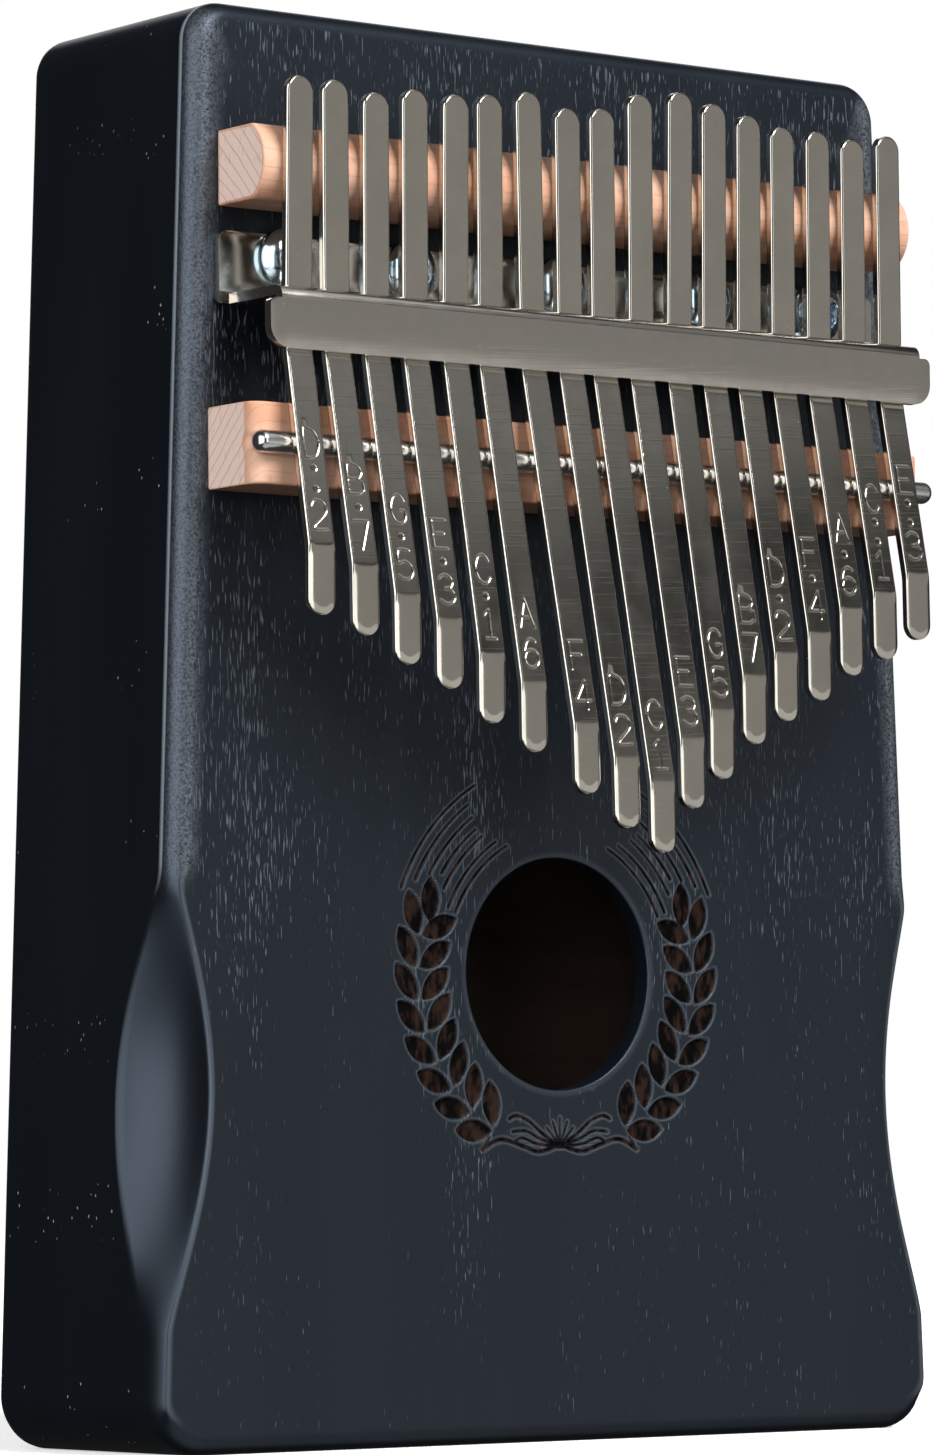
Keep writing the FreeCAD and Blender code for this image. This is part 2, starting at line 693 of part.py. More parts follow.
class TineShape:
    """The side view of a tine: its pad, its rise over the rod and its run over the rear bar."""

    def __init__(self):
        self.half = number(size("tine_thickness")) / 2
        gap = number(size("tine_gap"))
        front = number(FRONT)
        self.rod = (number(ROD_DEPTH), number(FRONT_BAR_HEIGHT))
        self.over_rod = number(size("rod_radius")) + self.half + gap
        arch_radius, arch_centre = rear_arch()
        bar = (front - arch_centre, number(REAR_BAR_HEIGHT))
        self.bend = number(size("tine_press_bend"))
        lean = math.radians(number(size("tine_press_lean")))
        reach = self.bend - self.half - gap
        self.press = (number(LIP_BACK) - reach * math.cos(lean), number(LIP_LOW) + reach * math.sin(lean))
        self.lower = leaning_run(self.rod, self.over_rod, self.press, self.bend)
        self.upper = leaning_run(bar, arch_radius + self.half + gap, self.press, self.bend)
        self.crossing = moved(self.rod, self.lower.front, self.over_rod)
        self.bend_low = moved(self.press, self.lower.front, -self.bend)
        self.bend_high = moved(self.press, self.upper.front, -self.bend)

    def pad_places(self, tip):
        """Where the pad's line ends and the leaning line starts, either side of the pad's bend."""
        radius = number(size("tine_pad_bend"))
        corner_height = tip + number(size("tine_pad"))
        drop = (corner_height - self.crossing[1]) / self.lower.along[1]
        corner = moved(self.crossing, self.lower.along, drop)
        trim = radius * math.tan(self.lower.angle / 2)
        return corner, moved(corner, (0, 1), -trim), moved(corner, self.lower.along, trim), radius

    def edge_line(self, tip, top, offset):
        """One long edge of the side view, offset from the middle towards the front."""
        corner, pad_end, lean_start, radius = self.pad_places(tip)
        upright = Run(0.0)
        middle_lean = Run(self.lower.angle / 2)
        middle_bend = Run((self.lower.angle + self.upper.angle) / 2)
        pad_centre = (corner[0] + radius, pad_end[1])
        low = moved((corner[0], tip), upright.front, offset)
        pad_stop = moved(pad_end, upright.front, offset)
        lean_go = moved(lean_start, self.lower.front, offset)
        pad_middle = moved(pad_centre, middle_lean.front, radius + offset)
        bend_go = moved(self.bend_low, self.lower.front, offset)
        bend_middle = moved(self.press, middle_bend.front, offset - self.bend)
        bend_stop = moved(self.bend_high, self.upper.front, offset)
        rise = (top - self.bend_high[1]) / self.upper.along[1]
        high = moved(moved(self.bend_high, self.upper.along, rise), self.upper.front, offset)
        return [
            Part.makeLine(space(low), space(pad_stop)),
            Part.Arc(space(pad_stop), space(pad_middle), space(lean_go)).toShape(),
            Part.makeLine(space(lean_go), space(bend_go)),
            Part.Arc(space(bend_go), space(bend_middle), space(bend_stop)).toShape(),
            Part.makeLine(space(bend_stop), space(high)),
        ], space(low), space(high)

    def strip(self, tip, top):
        """The tine before it is split: the side view carried across, trimmed to rounded ends."""
        front_edges, front_low, front_high = self.edge_line(tip, top, self.half)
        back_edges, back_low, back_high = self.edge_line(tip, top, -self.half)
        caps = [Part.makeLine(front_high, back_high), Part.makeLine(back_low, front_low)]
        outline = Part.Wire(Part.__sortEdges__(front_edges + back_edges + caps))
        width = number(size("tine_width"))
        slab = Part.Face(outline).extrude(VECTOR(width, 0, 0))
        slab.translate(VECTOR(-width / 2, 0, 0))
        return slab.common(self.plan(tip, top, width))

    @staticmethod
    def plan(tip, top, width):
        """The front view of a tine, a strip with round ends, carried through the depth."""
        half = width / 2
        depth = 2 * number(size("body_depth"))
        low = VECTOR(0, -depth, tip + half)
        high = VECTOR(0, -depth, top - half)
        right, left = VECTOR(half, 0, 0), VECTOR(-half, 0, 0)
        edges = [
            Part.makeLine(low + right, high + right),
            Part.Arc(high + right, high + VECTOR(0, 0, half), high + left).toShape(),
            Part.makeLine(high + left, low + left),
            Part.Arc(low + left, low - VECTOR(0, 0, half), low + right).toShape(),
        ]
        return Part.Face(Part.Wire(edges)).extrude(VECTOR(0, depth, 0))

    def half_space(self, side):
        """A block that takes in the tine on one side of its crossing of the rod, less half the gap."""
        reach = 2 * number(HEIGHT)
        block = Part.makeBox(reach, reach, reach, VECTOR(-reach / 2, -reach / 2, 0))
        if side < 0:
            block.translate(VECTOR(0, 0, -reach))
        block.translate(VECTOR(0, 0, side * number(size("hinge_gap")) / 2))
        block.rotate(VECTOR(0, 0, 0), X_AXIS, -math.degrees(self.lower.angle))
        block.translate(space(self.crossing))
        return block


def free_length(semitones):
    """A tine's length past the rod: its sounding length falls by half for every two octaves."""
    correction = number(size("end_correction"))
    return (number(size("longest_free")) + correction) * 2 ** (-semitones / 24) - correction


def build_tines():
    """Each tine as a held part under the lip and a free part that springs from the rod."""
    shape = TineShape()
    above, below = shape.half_space(1), shape.half_space(-1)
    for index, (semitones, pushed, aside, lean) in enumerate(TINE_SET):
        tip = shape.crossing[1] - free_length(semitones)
        top = number(HEIGHT - size("tine_top_drop")) + pushed
        strip = shape.strip(tip, top)
        across = number(size("tine_pitch")) * (index - TINES // 2) + aside
        for label, keep in (("tine_%02d_root", above), ("tine_%02d", below)):
            piece = strip.common(keep).Solids[0]
            piece.rotate(space(shape.crossing), Y_AXIS, lean)
            piece.translate(VECTOR(across, 0, 0))
            feature = DOC.addObject("Part::Feature", (label % (index + 1)) + "_steel")
            feature.Shape = piece
            node(feature, label % (index + 1))
    print("rod crossing at depth %.4f and height %.4f, lean %.3f degrees"
          % (shape.crossing[0], shape.crossing[1], math.degrees(shape.lower.angle)))


def build_all():
    """Every piece of the instrument."""
    bowls = (scoop_cutter(-1), scoop_cutter(1))
    build_soundboard(bowls)
    build_back()
    build_rim(bowls)
    build_screw_block()
    build_rear_bar()
    build_front_bar()
    build_rod()
    build_bracket()
    build_screws()
    build_tines()


def check_document():
    """Stop if any object failed or any piece isn't a valid solid."""
    DOC.recompute()
    for item in DOC.Objects:
        if {"Invalid", "Error"} & set(item.State):
            raise RuntimeError("%s failed: %s" % (item.Label, item.State))
    for item in NODES:
        shape = item.Shape
        if shape.isNull() or not shape.isValid() or not shape.Solids:
            raise RuntimeError("%s has no valid solid" % item.Label)


def write_parts():
    """One STEP file a piece."""
    os.makedirs("parts", exist_ok=True)
    for item in NODES:
        item.Shape.exportStep("parts/%s.step" % item.Label)
    print("%d pieces written" % len(NODES))


build_all()
check_document()
write_parts()
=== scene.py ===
"""Box kalimba: a painted wooden box with seventeen steel tines pressed over two beech bars.

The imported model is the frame. The box, the bars, the rod, the bracket, the screws and the tines are
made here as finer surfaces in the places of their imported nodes. All sizes are in millimetres until
a mesh is made. X runs to the player's right, Y back into the box, and Z up.
"""
import json
import logging
import math
from dataclasses import dataclass, field
from enum import Enum
from typing import Callable, Optional, Sequence, Union

import bmesh
import bpy
import numpy as np
from mathutils import Matrix, Vector


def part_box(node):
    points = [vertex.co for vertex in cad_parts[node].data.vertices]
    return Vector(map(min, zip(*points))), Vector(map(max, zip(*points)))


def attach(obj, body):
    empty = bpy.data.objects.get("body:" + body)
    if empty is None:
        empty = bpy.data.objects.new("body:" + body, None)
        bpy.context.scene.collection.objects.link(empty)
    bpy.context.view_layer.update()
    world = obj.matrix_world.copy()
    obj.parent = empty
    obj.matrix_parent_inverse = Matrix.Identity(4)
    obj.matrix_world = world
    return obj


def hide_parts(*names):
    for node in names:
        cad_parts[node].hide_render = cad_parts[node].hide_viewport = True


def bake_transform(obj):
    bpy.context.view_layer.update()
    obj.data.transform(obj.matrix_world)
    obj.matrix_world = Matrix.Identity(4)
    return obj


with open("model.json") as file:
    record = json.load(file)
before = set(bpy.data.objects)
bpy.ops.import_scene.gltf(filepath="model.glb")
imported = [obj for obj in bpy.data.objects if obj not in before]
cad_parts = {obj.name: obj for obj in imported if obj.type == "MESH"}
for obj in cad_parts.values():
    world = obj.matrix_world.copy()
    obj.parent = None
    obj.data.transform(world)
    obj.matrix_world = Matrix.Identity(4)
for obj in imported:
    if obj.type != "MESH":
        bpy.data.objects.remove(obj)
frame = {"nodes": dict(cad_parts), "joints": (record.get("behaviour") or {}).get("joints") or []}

LOG = logging.getLogger("kalimba")
MM = 0.001
Array = np.ndarray
Place = tuple[float, float]
Socket = bpy.types.NodeSocket
SocketOrNumber = Union[Socket, float]


class Body(Enum):
    """The moving bodies that pieces ride on. The tines' own bodies are left out, and no piece here rides on
    them.
    """

    BOX = "root"


class Slot(Enum):
    """The record's material slots, by name."""

    STAINED_WOOD = "stained_wood"
    BAR_WOOD = "bar_wood"
    ROD_STEEL = "rod_steel"
    BRACKET_STEEL = "bracket_steel"
    TINE_STEEL = "tine_steel"
    ZINC_SCREWS = "zinc_screws"


# ---------------------------------------------------------------------------------------------
# Arrays and meshes
# ---------------------------------------------------------------------------------------------


def ease(low: float, high: float, value: Array) -> Array:
    """A smooth step: 0 at low, 1 at high, with a level start and end between them."""
    share = np.clip((value - low) / (high - low), 0.0, 1.0)
    return share * share * (3.0 - 2.0 * share)


def unit(vector: Array) -> Array:
    """A vector brought to length one."""
    return vector / np.linalg.norm(vector)


def grid_faces(rows: int, columns: int, closed: bool = False) -> Array:
    """Corner numbers of the four-sided faces between neighbouring grid points.

    Args:
        rows: number of rows of points.
        columns: number of points in a row.
        closed: whether each row's last point joins its first.

    Returns:
        An array of four corner numbers a face; point (r, c) has number r * columns + c.
    """
    across = columns if closed else columns - 1
    row, column = np.meshgrid(np.arange(rows - 1), np.arange(across), indexing="ij")
    beside = (column + 1) % columns
    corners = (row * columns + column, row * columns + beside,
               (row + 1) * columns + beside, (row + 1) * columns + column)
    return np.stack(corners, axis=-1).reshape(-1, 4)


def fan_faces(ring: Array, hub: int) -> Array:
    """Triangles from a closed ring of point numbers to one hub point."""
    return np.stack([ring, np.roll(ring, -1), np.full(len(ring), hub)], axis=-1)


def capped_faces(rows: int, columns: int) -> list[Array]:
    """Faces of a tube of closed rings whose first and last rings close on hub points.

    Args:
        rows: number of rings.
        columns: number of points in a ring.

    Returns:
        The first ring's fan to point rows * columns, the faces between the rings, and the last
        ring's fan to the point after it. The first fan is turned, so that all the faces agree.
    """
    total = rows * columns
    return [fan_faces(np.arange(columns), total)[:, ::-1], grid_faces(rows, columns, closed=True),
            fan_faces(np.arange(total - columns, total), total + 1)]


def make_piece(name: str, points: Array, faces: Sequence[Array],
               masks: Optional[dict[str, Array]] = None) -> bpy.types.Object:
    """Make a closed, smooth piece whose faces point outwards.

    Args:
        name: the piece's name.
        points: places in millimetres, one row a point.
        faces: arrays of corner numbers; each array's faces have one number of corners.
        masks: values from 0 to 1 a point, by attribute name, for the materials.

    Returns:
        The piece's object, at the origin.
    """
    mesh = bpy.data.meshes.new(name)
    corner_lists = [corners for group in faces for corners in group.tolist()]
    mesh.from_pydata((points * MM).tolist(), [], corner_lists)
    for mask, values in (masks or {}).items():
        attribute = mesh.attributes.new(mask, "FLOAT", "POINT")
        attribute.data.foreach_set("value", values.astype(np.float32).ravel())
    shell = bmesh.new()
    shell.from_mesh(mesh)
    if shell.calc_volume(signed=True) < 0.0:
        bmesh.ops.reverse_faces(shell, faces=shell.faces)
        shell.to_mesh(mesh)
    shell.free()
    mesh.polygons.foreach_set("use_smooth", np.ones(len(mesh.polygons), dtype=bool))
    piece = bpy.data.objects.new(name, mesh)
    bpy.context.scene.collection.objects.link(piece)
    return piece


def report(piece: bpy.types.Object) -> None:
    """Log a piece's name and its number of triangles."""
    piece.data.calc_loop_triangles()
    LOG.info("%s: %d triangles", piece.name, len(piece.data.loop_triangles))


def stroke_distance(across: Array, along: Array, run: Sequence[Place]) -> Array:
    """Distance from each place to a run of straight strokes.

    For each stroke, a place's foot is its shadow on the stroke, held between the stroke's ends; the
    distance is the least of the distances to those feet.

    Args:
        across: places across.
        along: places along, of the same shape.
        run: the strokes' ends, in order.

    Returns:
        The distances, of the places' shape.
    """
    nearest = np.full(np.shape(across), np.inf)
    for (start_x, start_y), (end_x, end_y) in zip(run, run[1:]):
        step_x, step_y = end_x - start_x, end_y - start_y
        shadow = (across - start_x) * step_x + (along - start_y) * step_y
        share = np.clip(shadow / max(step_x ** 2 + step_y ** 2, 1e-9), 0.0, 1.0)
        gap = np.hypot(across - start_x - share * step_x, along - start_y - share * step_y)
        nearest = np.minimum(nearest, gap)
    return nearest


def rounded_run(points: Sequence[Place], steps: int = 5) -> list[Place]:
    """A smooth curve through the points: each stretch is a Catmull-Rom cubic of its neighbours.

    Args:
        points: the places to pass, in order.
        steps: number of short strokes for each stretch.

    Returns:
        The ends of the short strokes.
    """
    track = np.array([points[0], *points, points[-1]], dtype=float)
    share = np.linspace(0.0, 1.0, steps, endpoint=False)[:, None]
    stretches = []
    for before, start, end, after in zip(track, track[1:], track[2:], track[3:]):
        bend = 2 * before - 5 * start + 4 * end - after
        twist = 3 * (start - end) + after - before
        stretches.append(start + 0.5 * share * ((end - before) + share * (bend + share * twist)))
    return [tuple(place) for place in np.vstack([*stretches, track[-1:]])]


class RoundedLoop:
    """A closed outline of straight sides with rounded corners, run anticlockwise.

    Between the corners' arcs the heading stays the same; along an arc it turns evenly. The outward
    normal lies a quarter turn to the right of the heading.
    """

    ARC_STEPS = 64

    def __init__(self, start: Place, corners: Sequence[tuple[float, float, float]]) -> None:
        """Lay out the loop.

        Args:
            start: a place on the straight side before the first corner.
            corners: across, up and radius of each corner, in order.
        """
        spots = [np.array(corner[:2]) for corner in corners]
        places, headings = [np.array([start])], [np.array([0.0])]
        previous = np.array(start)
        heading = 0.0
        for index, (spot, corner) in enumerate(zip(spots, corners)):
            following = spots[index + 1] if index + 1 < len(spots) else np.array(start)
            way_in, way_out = unit(spot - previous), unit(following - spot)
            turn = math.atan2(way_in[0] * way_out[1] - way_in[1] * way_out[0], way_in @ way_out)
            radius = corner[2]
            centre = (spot - way_in * radius * math.tan(turn / 2)
                      + radius * np.array([-way_in[1], way_in[0]]))
            first = math.atan2(way_in[1], way_in[0])
            first += 2 * math.pi * round((heading - first) / (2 * math.pi))
            angles = np.linspace(first, first + turn, self.ARC_STEPS)
            places.append(centre + radius * np.stack([np.sin(angles), -np.cos(angles)], axis=-1))
            headings.append(angles)
            heading = first + turn
            previous = spot
        places.append(np.array([start]))
        headings.append(np.array([heading]))
        self.places = np.vstack(places)
        self.headings = np.concatenate(headings)
        steps = np.linalg.norm(np.diff(self.places, axis=0), axis=1)
        self.run = np.concatenate([[0.0], np.cumsum(steps)])
        self.length = float(self.run[-1])

    def at(self, distance: Array) -> tuple[Array, Array]:
        """Places and outward normals at distances along the loop.

        Args:
            distance: distances from the start.

        Returns:
            Places, and the unit normals there.
        """
        across = np.interp(distance, self.run, self.places[:, 0])
        up = np.interp(distance, self.run, self.places[:, 1])
        heading = np.interp(distance, self.run, self.headings)
        normal = np.stack([np.sin(heading), -np.cos(heading)], axis=-1)
        return np.stack([across, up], axis=-1), normal

    def spread(self, count: int, weight: Callable[[Array, Array], Array]) -> Array:
        """Distances that divide the loop into steps, shorter where the weight is greater.

        Args:
            count: number of steps.
            weight: gives the density of steps for places and normals.

        Returns:
            The distance at which each step starts.
        """
        fine = np.linspace(0.0, self.length, 8000)
        places, normals = self.at(fine)
        density = weight(places, normals)
        total = np.concatenate([[0.0], np.cumsum((density[1:] + density[:-1]) / 2)])
        return np.interp(np.arange(count) / count * total[-1], total, fine)


# ---------------------------------------------------------------------------------------------
# Materials
# ---------------------------------------------------------------------------------------------


class Wiring:
    """Adds nodes to one node tree and links them."""

    def __init__(self, tree: bpy.types.NodeTree) -> None:
        """Keep the tree."""
        self.tree = tree

    def node(self, kind: str, inputs: Optional[dict] = None, **settings: object) -> bpy.types.Node:
        """Add a node.

        Args:
            kind: the node's type name.
            inputs: a number, colour or socket for each input, by its name or place.
            settings: the node's own properties.

        Returns:
            The new node.
        """
        made = self.tree.nodes.new(kind)
        for name, value in settings.items():
            setattr(made, name, value)
        for key, value in (inputs or {}).items():
            if isinstance(value, Socket):
                self.tree.links.new(value, made.inputs[key])
            else:
                made.inputs[key].default_value = value
        return made

    def math(self, operation: str, first: SocketOrNumber, second: SocketOrNumber = 0.0,
             clamp: bool = False) -> Socket:
        """A Math node's value."""
        made = self.node("ShaderNodeMath", {0: first, 1: second}, operation=operation, use_clamp=clamp)
        return made.outputs[0]

    def mix(self, share: SocketOrNumber, first: object, second: object) -> Socket:
        """A colour between two colours."""
        made = self.node("ShaderNodeMix", {0: share, 6: first, 7: second}, data_type="RGBA")
        return made.outputs[2]

    def step(self, value: SocketOrNumber, low: SocketOrNumber, high: SocketOrNumber,
             bottom: float = 0.0, top: float = 1.0) -> Socket:
        """A smooth step of a value, from bottom at low to top at high."""
        made = self.node("ShaderNodeMapRange", {0: value, 1: low, 2: high, 3: bottom, 4: top},
                         interpolation_type="SMOOTHSTEP")
        return made.outputs[0]

    def stretch(self, vector: Socket, scale: Sequence[float],
                turn: Sequence[float] = (0.0, 0.0, 0.0)) -> Socket:
        """Coordinates scaled along each axis, after a turn in radians.

        Args:
            vector: the coordinates.
            scale: factor along each axis.
            turn: angle about each axis.

        Returns:
            The new coordinates.
        """
        turned = self.node("ShaderNodeMapping", {"Vector": vector, "Rotation": turn})
        scaled = self.node("ShaderNodeMapping", {"Vector": turned.outputs[0], "Scale": scale})
        return scaled.outputs[0]

    def noise(self, vector: Socket, scale: SocketOrNumber = 1.0, detail: float = 2.0,
              roughness: float = 0.5) -> Socket:
        """A noise value about one half."""
        made = self.node("ShaderNodeTexNoise", {"Vector": vector, "Scale": scale, "Detail": detail,
                                                "Roughness": roughness})
        return made.outputs[0]

    def mask(self, name: str) -> Socket:
        """The value of a point mask of the piece."""
        return self.node("ShaderNodeAttribute", None, attribute_name=name).outputs["Fac"]

    def place(self) -> Socket:
        """The place on the piece, in metres."""
        return self.node("ShaderNodeTexCoord").outputs["Object"]

    def group(self, tree: bpy.types.NodeTree, inputs: dict) -> bpy.types.Node:
        """A shared group placed with its own values; node sets its tree first, which makes its sockets."""
        return self.node("ShaderNodeGroup", inputs, node_tree=tree)

    def times(self, first: SocketOrNumber, second: SocketOrNumber) -> Socket:
        """The product of two values."""
        return self.math("MULTIPLY", first, second)

    def plus(self, first: SocketOrNumber, second: SocketOrNumber, clamp: bool = False) -> Socket:
        """The sum of two values, held between 0 and 1 if it is clamped."""
        return self.math("ADD", first, second, clamp)

    def bump(self, height: Socket, strength: float, distance: float) -> Socket:
        """The normal of a surface raised by a height, with the bump's depth in metres."""
        made = self.node("ShaderNodeBump", {"Strength": strength, "Distance": distance, "Height": height})
        return made.outputs[0]

    def feed(self, shader: bpy.types.Node, sockets: dict[str, Socket]) -> None:
        """Link sockets to a shader's inputs, by the inputs' names."""
        for name, socket in sockets.items():
            self.tree.links.new(socket, shader.inputs[name])


def shared_group(name: str, inputs: dict[str, float], outputs: Sequence[str],
                 fill: Callable[[Wiring, bpy.types.Node], dict[str, Socket]]) -> bpy.types.NodeTree:
    """A node group with a Vector input and number inputs, built once.

    Args:
        name: the group's name.
        inputs: the number inputs and their usual values.
        outputs: the names of the number outputs.
        fill: adds the group's nodes and returns the socket for each output.

    Returns:
        The group's tree.
    """
    made = bpy.data.node_groups.get(name)
    if made is not None:
        return made
    made = bpy.data.node_groups.new(name, "ShaderNodeTree")
    made.interface.new_socket("Vector", in_out="INPUT", socket_type="NodeSocketVector")
    for label, value in inputs.items():
        socket = made.interface.new_socket(label, in_out="INPUT", socket_type="NodeSocketFloat")
        socket.default_value = value
    for label in outputs:
        made.interface.new_socket(label, in_out="OUTPUT", socket_type="NodeSocketFloat")
    wiring = Wiring(made)
    entry = made.nodes.new("NodeGroupInput")
    leave = made.nodes.new("NodeGroupOutput")
    for label, socket in fill(wiring, entry).items():
        made.links.new(socket, leave.inputs[label])
    return made


def pore_group() -> bpy.types.NodeTree:
    """Open pores: short streaks up the grain where a stretched noise is high, in drifting patches.

    Returns:
        The group's tree.
    """
    def fill(wiring: Wiring, entry: bpy.types.Node) -> dict[str, Socket]:
        """Cut streaks out of one noise and thin them with another.

        Args:
            wiring: adds nodes to the group's tree.
            entry: the group's input node.

        Returns:
            The socket for each output.
        """
        place = entry.outputs["Vector"]
        streaks = wiring.noise(wiring.stretch(place, (4300.0, 4300.0, 420.0)), 1.0, 1.0)
        patches = wiring.noise(wiring.stretch(place, (90.0, 90.0, 30.0)), 1.0, 2.0)
        level = wiring.plus(entry.outputs["Level"],
                            wiring.times(wiring.math("SUBTRACT", 0.5, patches), 0.40))
        mask = wiring.step(streaks, level, wiring.plus(level, 0.07))
        fine = wiring.noise(wiring.stretch(place, (5200.0, 5200.0, 700.0)), 1.0, 2.0)
        return {"Mask": mask, "Fibre": fine}
    return shared_group("wood_pores", {"Level": 0.68}, ("Mask", "Fibre"), fill)


def speck_group() -> bpy.types.NodeTree:
    """Specks: small spots about the points of a cell pattern, where a slow noise lets them through.

    Returns:
        The group's tree.
    """
    def fill(wiring: Wiring, entry: bpy.types.Node) -> dict[str, Socket]:
        """Keep the near parts of the cells, in clusters.

        Args:
            wiring: adds nodes to the group's tree.
            entry: the group's input node.

        Returns:
            The socket for each output.
        """
        cells = wiring.node("ShaderNodeTexVoronoi", {"Vector": entry.outputs["Vector"],
                                                     "Scale": entry.outputs["Scale"]})
        spot = wiring.step(cells.outputs["Distance"], 0.18, 0.08)
        chance = wiring.node("ShaderNodeSeparateColor", {0: cells.outputs["Color"]}).outputs[0]
        kept = wiring.step(chance, entry.outputs["Thinning"],
                           wiring.plus(entry.outputs["Thinning"], 0.02))
        drift = wiring.noise(entry.outputs["Vector"], 38.0, 2.0)
        cluster = wiring.step(drift, 0.44, 0.58)
        mask = wiring.times(wiring.times(spot, kept), cluster)
        return {"Mask": mask}
    return shared_group("specks", {"Scale": 1100.0, "Thinning": 0.8}, ("Mask",), fill)


def scratch_group() -> bpy.types.NodeTree:
    """Fine scratches along X, and a slow cloud of handling marks.

    Returns:
        The group's tree.
    """
    def fill(wiring: Wiring, entry: bpy.types.Node) -> dict[str, Socket]:
        """Stretch one noise along X and leave another even.

        Args:
            wiring: adds nodes to the group's tree.
            entry: the group's input node.

        Returns:
            The socket for each output.
        """
        place = entry.outputs["Vector"]
        lines = wiring.noise(wiring.stretch(place, (60.0, 4200.0, 4200.0), (0.0, 0.06, 0.0)), 1.0, 3.0)
        cloud = wiring.noise(place, 130.0, 4.0, 0.6)
        return {"Lines": lines, "Cloud": cloud}
    return shared_group("scratches", {}, ("Lines", "Cloud"), fill)


RINGS_PER_METRE = 500.0


def ring_group() -> bpy.types.NodeTree:
    """Growth rings: thin dark lines where a wavering measure across the rings passes whole steps.

    Returns:
        The group's tree.
    """
    def fill(wiring: Wiring, entry: bpy.types.Node) -> dict[str, Socket]:
        """Measure across the rings, waver it, and mark each whole step.

        Args:
            wiring: adds nodes to the group's tree.
            entry: the group's input node.

        Returns:
            The socket for each output.
        """
        place = entry.outputs["Vector"]
        parts = wiring.node("ShaderNodeSeparateXYZ", {0: place})
        across = wiring.plus(parts.outputs[1],
                             wiring.times(parts.outputs[2], entry.outputs["Slant"]))
        waver = wiring.noise(wiring.stretch(place, (14.0, 120.0, 120.0)), 1.0, 2.0)
        measure = wiring.plus(wiring.times(across, RINGS_PER_METRE),
                              wiring.times(waver, 1.1))
        part = wiring.math("FRACT", measure)
        line = wiring.times(wiring.step(part, 0.80, 0.93), wiring.step(part, 1.0, 0.95))
        return {"Line": line}
    return shared_group("growth_rings", {"Slant": -1.0}, ("Line",), fill)


def new_material(name: str) -> tuple[bpy.types.Material, Wiring, bpy.types.Node]:
    """An empty material with its Principled shader.

    Args:
        name: the material's name.

    Returns:
        The material, the wiring of its tree, and its shader.
    """
    material = bpy.data.materials.new(name)
    material.use_nodes = True
    wiring = Wiring(material.node_tree)
    return material, wiring, material.node_tree.nodes["Principled BSDF"]


def colour(red: float, green: float, blue: float) -> tuple[float, float, float, float]:
    """A colour from its three parts, as light."""
    return (red, green, blue, 1.0)


@dataclass(frozen=True)
class StainedWood:
    """Thin blue-black satin paint over open-pored wood, with a burnt engraving."""

    name: str = "stained_wood"
    paint: tuple = colour(0.0022, 0.0034, 0.0056)
    worn: tuple = colour(0.0036, 0.0052, 0.0080)
    filler: tuple = colour(0.135, 0.150, 0.170)
    # Painted highlight: the pale colour laid on the thin bright edge lines of the rim mask.
    painted_highlight: tuple = colour(0.30, 0.35, 0.41)
    dust: tuple = colour(0.42, 0.47, 0.50)
    char: tuple = colour(0.0050, 0.0038, 0.0034)
    scorch: tuple = colour(0.055, 0.030, 0.022)
    gloss: float = 0.33
    pore_level: float = 0.640
    pore_fade: tuple = (0.085, 0.035)

    def build(self) -> bpy.types.Material:
        """Make the material.

        Returns:
            Paint with pale pores on the flats, dust on the sides, grain on the rounded edges, a
            painted highlight in a pale colour on the rim mask's edge lines, and the engraving from the
            piece's masks. The char counts as metal of a near-black tone, which takes away the paint's
            sheen there.
        """
        material, wiring, shader = new_material(self.name)
        place = wiring.place()
        flat, edge, side, burn, rim = (wiring.mask(name) for name in ("flat", "edge", "side", "burn", "rim"))
        up = wiring.node("ShaderNodeSeparateXYZ", {0: place}).outputs[2]
        level = wiring.plus(self.pore_level, wiring.times(wiring.step(up, *self.pore_fade), 0.085))
        pores = wiring.group(pore_group(), {"Vector": place, "Level": level})
        streak = wiring.times(pores.outputs["Mask"], flat)
        specks = wiring.group(speck_group(), {"Vector": wiring.stretch(place, (1.0, 1.0, 0.55)),
                                              "Scale": 1200.0, "Thinning": 0.88})
        dust = wiring.times(specks.outputs["Mask"], side)
        slow = wiring.noise(wiring.stretch(place, (60.0, 60.0, 9.0)), 1.0, 3.0)
        grain = wiring.noise(place, 3000.0, 3.0, 0.6)
        tone = wiring.mix(wiring.step(slow, 0.3, 0.7), self.paint, self.worn)
        tone = wiring.mix(wiring.times(streak, 0.50), tone, self.filler)
        tone = wiring.mix(wiring.times(dust, 0.8), tone, self.dust)
        edge_tone = wiring.times(wiring.times(edge, wiring.step(grain, 0.28, 0.66)), 0.62)
        tone = wiring.mix(edge_tone, tone, self.filler)
        # Painted highlight: the rim mask's thin edge lines take a pale colour.
        tone = wiring.mix(rim, tone, self.painted_highlight)
        cinder = wiring.noise(wiring.stretch(place, (900.0, 900.0, 420.0)), 1.0, 3.0)
        burnt = wiring.mix(wiring.step(cinder, 0.42, 0.68), self.char, self.scorch)
        tone = wiring.mix(burn, tone, burnt)
        rough = wiring.plus(self.gloss, wiring.times(slow, 0.10))
        rough = wiring.plus(rough, wiring.times(streak, 0.25))
        rough = wiring.plus(rough, wiring.times(burn, 0.45), clamp=True)
        height = wiring.times(streak, -0.9)
        fibre = wiring.times(wiring.times(pores.outputs["Fibre"], flat), 0.35)
        pitted = wiring.times(grain, wiring.plus(wiring.times(edge, 1.3), 0.22))
        height = wiring.plus(height, wiring.plus(fibre, pitted))
        height = wiring.plus(height, wiring.times(wiring.times(cinder, burn), 1.5))
        wiring.feed(shader, {"Base Color": tone, "Roughness": rough, "Metallic": wiring.times(burn, 0.92),
                             "Normal": wiring.bump(height, 0.55, 0.00010)})
        shader.inputs["Specular Tint"].default_value = colour(0.78, 0.95, 1.18)
        shader.inputs["Specular IOR Level"].default_value = 0.5
        return material


